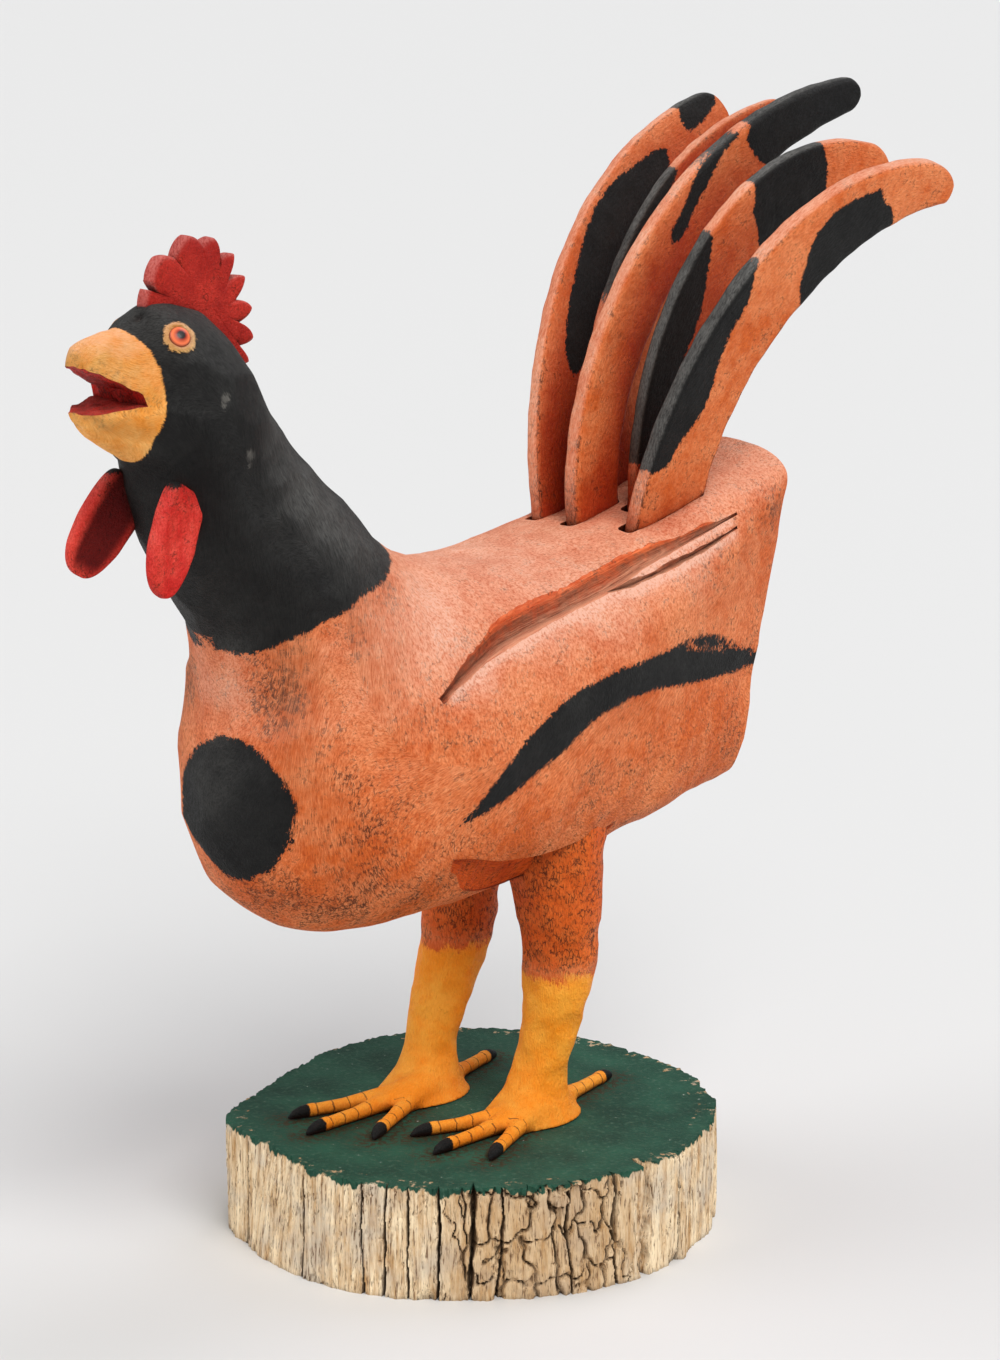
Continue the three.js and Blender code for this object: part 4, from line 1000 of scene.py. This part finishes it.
def net(field, low, size):
    """Surface round the negative part of a field on a grid that ends outside it: a vertex in each cell
    that the zero level crosses, at the mean of the crossings on its edges, and a face round each crossed
    edge."""
    inside = field < 0
    ways = np.eye(3, dtype=int)
    corners = np.argwhere(np.ones((2, 2, 2)))
    shape = np.array(field.shape) - 1
    count = sum(inside[tuple(map(slice, corner, corner + shape))].astype(int) for corner in corners)
    cells = np.argwhere((count > 0) & (count < 8))
    total, hits = np.zeros((len(cells), 3)), np.zeros(len(cells))
    for way in ways:
        for corner in corners[corners @ way == 0]:
            start, stop = (field[tuple((cells + c).T)] for c in (corner, corner + way))
            crossed = (start < 0) != (stop < 0)
            share = np.where(crossed, start / np.where(crossed, start - stop, 1), 0)
            total += (corner + share[:, None] * way) * crossed[:, None]
            hits += crossed
    verts = low + (cells + total / hits[:, None]) * size
    number = np.full(shape, -1)
    number[tuple(cells.T)] = np.arange(len(cells))
    faces = []
    for axis in range(3):
        one, two = np.delete(ways, axis, 0)
        after = np.roll(inside, -1, axis)
        for leaving, change in ((True, inside & ~after), (False, after & ~inside)):
            at = np.argwhere(change)
            quad = np.stack([number[tuple((at - back).T)] for back in (one + two, two, 0 * one, one)], 1)
            faces.append(quad[:, ::-1] if leaving != (axis != 1) else quad)
    return verts, np.concatenate(faces).tolist()


def make_leg(name, rows, toes, line):
    """A leg with its foot, painted ochre up to the line."""
    rows, toes = np.array(rows, float), np.array(toes, float)
    wide = np.concatenate([rows[:, 2] - rows[:, 4], rows[:, 2] + rows[:, 4], toes[:, 1]])
    low = np.array([wide.min() - LEG_MARGIN, -toes[:, 0].max() - LEG_MARGIN, BASE_HEIGHT - 3.0])
    high = np.array([wide.max() + LEG_MARGIN, -toes[:, 0].min() + LEG_MARGIN, LEG_TOP + 3.0])
    axes = [np.arange(a, b, LEG_CELL) for a, b in zip(low, high)]
    grid = np.stack(np.meshgrid(*axes, indexing="ij"), -1).reshape(-1, 3)
    field = np.maximum.reduce([leg_field(grid, rows, toes), LEG_FOOT - grid[:, 2], grid[:, 2] - LEG_TOP])
    mesh = mesh_of(f"carved_leg_{name}", *net(field.reshape([len(axis) for axis in axes]), low, LEG_CELL))
    q = read(mesh.vertices, "co") / MM
    q = lerp(q, hew(mesh, 150, 22.0, 0.4), step(74, 92, q[:, 2:]))
    q[:, 2] = np.maximum(q[:, 2], LEG_FOOT)
    move(mesh, q)
    up = q[:, 2]
    mark(mesh, "ochre", line - up + 2.0 * waves(q, 14))
    claws, toe_run, on_toe = [], np.zeros(len(q)), np.zeros(len(q))
    for length, run, off in toe_lines(q, toes):
        reach, off = run - length + CLAW_LENGTH, np.abs(off)
        claws.append(np.minimum(reach - 3.5, 9 - off))
        here = off < 6.5
        toe_run = np.where(here, reach, toe_run)
        on_toe = np.maximum(on_toe, here * step(-38, -30, reach) * step(2, -1, reach))
    on_foot = up < 80
    mark(mesh, "claw", np.where(on_foot, np.max(claws, axis=0), -9))
    mark(mesh, "toe", toe_run)
    mark(mesh, "on_toe", on_toe * on_foot)
    mark(mesh, "worn", 0.5 * step(line - 4, line + 6, up) - 0.4 * step(line + 2, line - 12, up))
    mark(mesh, "dust_and_highlight", 0.35 * bell((up - line - 4) / 5))
    mark(mesh, "grain", q[:, UPRIGHT] * MM)
    piece(f"carved_leg_{name}", mesh, f"leg_{name}", "ochre_paint", leg_paint, sharp=50)


make_leg("left", LEFT_LEG, LEFT_TOES, 150.0)
make_leg("right", RIGHT_LEG, RIGHT_TOES, 153.0)

# Drying cracks: turn, half width and depth in mm, wander in mm.
CRACKS = [
    (-140, 1.1, 5, 1), (-112, 0.7, 4, 1), (-86, 0.9, 6, 1), (-69, 0.7, 5, 0.8), (-63.5, 0.8, 5, 1.2),
    (-58, 0.6, 4, 0.8), (-51, 0.9, 6, 1.2), (-43.5, 1.8, 10, 1.2), (-37, 0.8, 5, 2), (-21, 0.8, 5, 2),
    (-9, 1.0, 6, 1), (1, 4.0, 14, 2), (12, 0.8, 4, 1), (44, 1.2, 6, 1), (92, 2.5, 9, 2), (140, 1.2, 6, 1),
]
# The rotten stretch of the side, where the wood stands in small plates: turn, half width in degrees.
ROTTEN = (-27, 20)
PLATE_WIDE, PLATE_TALL = (15.0, 17.0), (110.0, 25.0)
SIDE_ROWS, TOP_RINGS, LOG_TURNS = 56, 24, 1100
# Fibres: size and height in mm, and how much shorter a wave is across than up.
FIBRES = [(30, 0.8, 0.3), (9, 0.5, 0.12), (3.4, 0.35, 0.05), (1.9, 0.22, 0.04)]


def apart(turn, other):
    """Degrees from one turn to another, either way."""
    return (turn - other + 180) % 360 - 180


def plates(turn, up, at):
    """Weathered plates: cells round jittered seeds, tall and narrow on sound wood and small on rotten
    wood. Returns how far inside its cell each place is, and the cell's own random number."""
    rotten = step(ROTTEN[1] + 6, ROTTEN[1] - 4, np.abs(apart(turn, ROTTEN[0])))
    arc = np.radians(np.diff(turn, append=turn[0] + 360)) * BASE_RADIUS
    across = np.cumsum(arc / lerp(*PLATE_WIDE, rotten))
    tall = up[:, None] / lerp(*PLATE_TALL, rotten)
    count = int(round(across[-1]))
    grid = np.stack([np.broadcast_to(across * count / across[-1], tall.shape), tall], -1).reshape(-1, 2)
    bent = grid + np.stack([0.13 * waves(at, 14) + 0.015 * waves(at, 4),
                            0.22 * waves(at, 12) + 0.02 * waves(at, 4)], 1)
    seeds = np.stack(np.meshgrid(np.arange(count), np.arange(-1, 6), indexing="ij"), -1).reshape(-1, 2)
    seeds = seeds + rng.uniform(-0.36, 0.36, seeds.shape)
    own = rng.uniform(0, 1, len(seeds))
    gap, cell = np.empty(len(bent)), np.empty(len(bent), int)
    for start in range(0, len(bent), BATCH):
        part = bent[start:start + BATCH, None]
        dx = (part[..., 0] - seeds[:, 0] + count / 2) % count - count / 2
        d = np.hypot(dx, part[..., 1] - seeds[:, 1])
        two = np.partition(d, 1, axis=1)
        gap[start:start + BATCH], cell[start:start + BATCH] = two[:, 1] - two[:, 0], d.argmin(1)
    return gap.reshape(tall.shape), own[cell].reshape(tall.shape), rotten


def log_points():
    """Log slice: the outline is a circle less its flats, with ripples; each crack is a V that wanders up
    the side; the weathered side stands in upright fibres and in plates with gaps between them."""
    fine_turn = np.linspace(-180, 180, 4001)
    density = 0.5 + step(112, 88, np.abs(apart(fine_turn, -44)))
    run = summed((density[1:] + density[:-1]) / 2)
    turn = np.interp(np.arange(LOG_TURNS) / LOG_TURNS * run[-1], run, fine_turn)
    share = np.linspace(0, 1, SIDE_ROWS)
    up = BASE_HEIGHT * share
    fade = lerp(BASE_FOOT, 1, share)[:, None]
    r = np.full((len(up), len(turn)), BASE_RADIUS)
    for count, start, height in BASE_RIPPLES:
        r += height * np.sin(np.radians(count * turn + start))
    for where, depth, half in BASE_FLATS:
        r -= fade * depth * np.cos(np.minimum(np.abs(apart(turn, where)) / half, 1) * np.pi / 2) ** 2
    skin = r.copy()
    around = np.stack([np.cos(np.radians(turn)), np.sin(np.radians(turn))], -1)
    at = np.stack(np.broadcast_arrays(*(around * BASE_RADIUS).T, up[:, None]), -1).reshape(-1, 3)
    gap, own, rotten = plates(turn, up, at)
    r -= lerp(1.0, 4.6, rotten) * own
    r -= lerp(1.0, 3.4, rotten) * np.clip(1 - gap / lerp(0.04, 0.15, rotten), 0, 1)
    for size, height, upright in FIBRES:
        r += height * (waves(at * np.array([1, 1, upright]), size, 14).reshape(r.shape) - 0.6)
    r += 0.25 * rotten * waves(at, 5.0, 14).reshape(r.shape)
    heights = up[:, None] * np.array([0, 0, 1])
    for where, half, depth, sway in CRACKS:
        line = 0.8 * sway * waves(heights, 50, 6) + 0.3 * waves(heights, 6, 6)
        off = np.abs(np.radians(apart(turn, where)) * BASE_RADIUS - line[:, None])
        wide = half * (1 + 0.35 * waves(heights, 18, 6)[:, None])
        r -= depth * np.maximum(0, 1 - off / np.maximum(wide, 0.4)) ** 0.7
    chips = np.maximum(0, waves(at[:len(turn)], 14) - 0.5)
    r -= 3.0 * chips * (1 - step(0, 9, up))[:, None]
    r = np.minimum(r, skin - 0.2)
    level = np.broadcast_to(up[:, None], r.shape).copy()
    level[-1] -= 1.1 * np.clip(waves(at[:len(turn)], 7) + 0.4, 0, 2)
    side_ring = np.concatenate([r[..., None] * around, level[..., None]], -1)
    inward = np.concatenate([[0.993, 0.982], np.linspace(0.965, 0.05, TOP_RINGS - 2)])[:, None, None]
    top = side_ring[-1] * inward
    top[..., 2] = BASE_HEIGHT - 0.25 - 0.2 * waves(top.reshape(-1, 3), 40).reshape(top.shape[:2])
    side_ring[0, :, 2] = 0
    under = side_ring[0] * np.array([0.1, 0.5, 0.9, 0.98])[:, None, None]
    return np.concatenate([under, side_ring, top])


mesh = mesh_of("log_slice", *tube(log_points()))
q = read(mesh.vertices, "co") / MM
flat_q = q * np.array([1, 1, 0])
drip = 2.2 + 1.8 * waves(flat_q, 16) + 1.3 * waves(flat_q, 5)
painted_up = np.where(q[:, 2] > 64, BASE_RADIUS - np.hypot(q[:, 0], q[:, 1]) - 14, -20)
mark(mesh, "green", np.maximum(q[:, 2] - BASE_HEIGHT + np.clip(drip, 0.6, 8), painted_up))
smear = np.zeros(len(q))
for length, run, off in [*toe_lines(q, LEFT_TOES), *toe_lines(q, RIGHT_TOES)]:
    aside = np.hypot(off, run - np.clip(run, 0, length))
    smear = np.maximum(smear, np.exp(-np.maximum(aside - 3, 0) / 9.0))
mark(mesh, "smear", smear * (q[:, 2] > 60))
turn = np.degrees(np.arctan2(q[:, 1], q[:, 0]))
mark(mesh, "rotten", step(ROTTEN[1] + 10, ROTTEN[1] - 6, np.abs(apart(turn, ROTTEN[0]))))
mark(mesh, "grain", q[:, UPRIGHT] * MM)


def weathered_log(name):
    """Bare trunk wood bleached by weather: pale straw and grey streaks that run upright, painted shade in
    the gaps and hollows, and green paint over the top that stops in a ragged line below the rim."""
    material, node = new_material(name)
    where = node("TexCoord", out=3)
    long = node("Mapping", node("Attribute", attribute_name="grain", out=1), Scale=(0.12, 1.0, 1.0))
    streak = node("TexNoise", long, 1 / 0.0045, 6.0, 0.7)
    thread = node("TexNoise", long, 1 / 0.0013, 3.0, 0.7)
    broad = node("TexNoise", where, 1 / 0.035, 5.0, 0.6)
    fine = node("TexNoise", where, 1 / 0.003, 5.0)
    brown = node("Math", node("Attribute", attribute_name="rotten", out=2), 0.55, operation="MULTIPLY")
    # Painted shade: dark brown where gaps and hollows hide the wood.
    occlusion_shade = node("AmbientOcclusion", Distance=0.006, out=1, samples=6)
    smear = node("Attribute", attribute_name="smear", out=2)
    smear = node("Math", smear, node("MapRange", fine, 0.4, 0.6), operation="MULTIPLY")

    def layered(cloud, dark, light, *layers):
        colour = node("Mix", cloud, dark, light, data_type="RGBA")
        for mask, paint in layers:
            colour = node("Mix", mask, colour, paint, data_type="RGBA")
        return colour

    wood = layered(
        node("MapRange", streak, 0.36, 0.60), "#bd9260", "#fde6c0",
        (node("MapRange", broad, 0.47, 0.62, 0, 0.65), "#cbbfae"),
        (brown, "#bd9464"),
        (node("MapRange", thread, 0.46, 0.34, 0, 0.9), "#5f3b1c"),
        (node("MapRange", occlusion_shade, 0.66, 0.25, 0, 0.9), "#2e1a0b"))
    green = layered(
        node("MapRange", broad, 0.35, 0.65), "#153c2d", "#235440",
        (node("MapRange", fine, 0.52, 0.70, 0, 0.45), "#4b6b58"),
        (node("MapRange", smear, 0.10, 0.50, 0, 0.9), "#35280f"),
        (node("MapRange", fine, 0.72, 0.75, 0, 0.8), "#c9cfc6"))
    rag = node("Math", streak, 9.0, -4.5, operation="MULTIPLY_ADD")
    edge = node("Math", node("Attribute", attribute_name="green", out=2), rag, operation="ADD")
    colour = layered(node("MapRange", edge, -0.4, 0.4), wood, green)
    height = node("Math", streak, thread, operation="ADD")
    height = node("Math", fine, 0.5, height, operation="MULTIPLY_ADD")
    surface = {"Base Color": colour, "Roughness": 0.75, "Specular IOR Level": 0.3,
               "Normal": node("Bump", Strength=0.8, Distance=0.0012, Height=height)}
    node("OutputMaterial", node("BsdfPrincipled", **surface))
    return material


piece("log_slice", mesh, "base", "log", weathered_log("Weathered trunk wood with green paint on top"))

stone, node = new_material("Pale studio floor")
node("OutputMaterial", node("BsdfPrincipled", **{"Base Color": "#d6d5d3", "Roughness": 0.6}))
mesh = bpy.data.meshes.new("floor")
half = FLOOR_HALF
corners = [(-half, -half, 0), (half, -half, 0), (half, half, 0), (-half, half, 0)]
mesh.from_pydata(corners, [], [(0, 1, 2, 3)])
mesh.materials.append(stone)
floor = new_object("floor", mesh)


def aimed(name, data, azimuth, elevation, distance, target):
    """A light or camera that looks at its target; azimuth 0 is in front of the bird, 90 on its left."""
    a, e = np.radians([azimuth, elevation])
    back = Vector((np.sin(a) * np.cos(e), -np.cos(a) * np.cos(e), np.sin(e)))
    obj = new_object(name, data)
    obj.location = target + back * distance
    obj.rotation_mode = "QUATERNION"
    obj.rotation_quaternion = (-back).to_track_quat("-Z", "Y")
    return obj


# Wide soft lights a long way off: azimuth, elevation, strength, spread, colour.
for name, azimuth, elevation, strength, spread, colour in (
        ("key", 74, 50, 2.5, 36, "#ffffff"), ("fill", -35, 32, 1.15, 45, "#ffffff"),
        ("back", 180, 50, 0.9, 35, "#f2f5ff")):
    data = bpy.data.lights.new(name, "SUN")
    data.energy, data.angle, data.color = strength, np.radians(spread), linear(colour)[:3]
    aimed(name, data, azimuth, elevation, 3.0, Vector())

world = bpy.data.worlds.new("studio")
bpy.context.scene.world = world
world.use_nodes = True
world.node_tree.nodes["Background"].inputs["Color"].default_value = linear("#e6e8ea")
world.node_tree.nodes["Background"].inputs["Strength"].default_value = 0.40
bpy.context.scene.view_settings.view_transform = "Standard"

lens = bpy.data.cameras.new("camera")
lens.lens, lens.sensor_width = 116.19, 36.0
bpy.context.scene.camera = aimed("camera", lens, 46.0, 13.73, 2.5, Vector((11.92, 12.34, 321.17)) * MM)
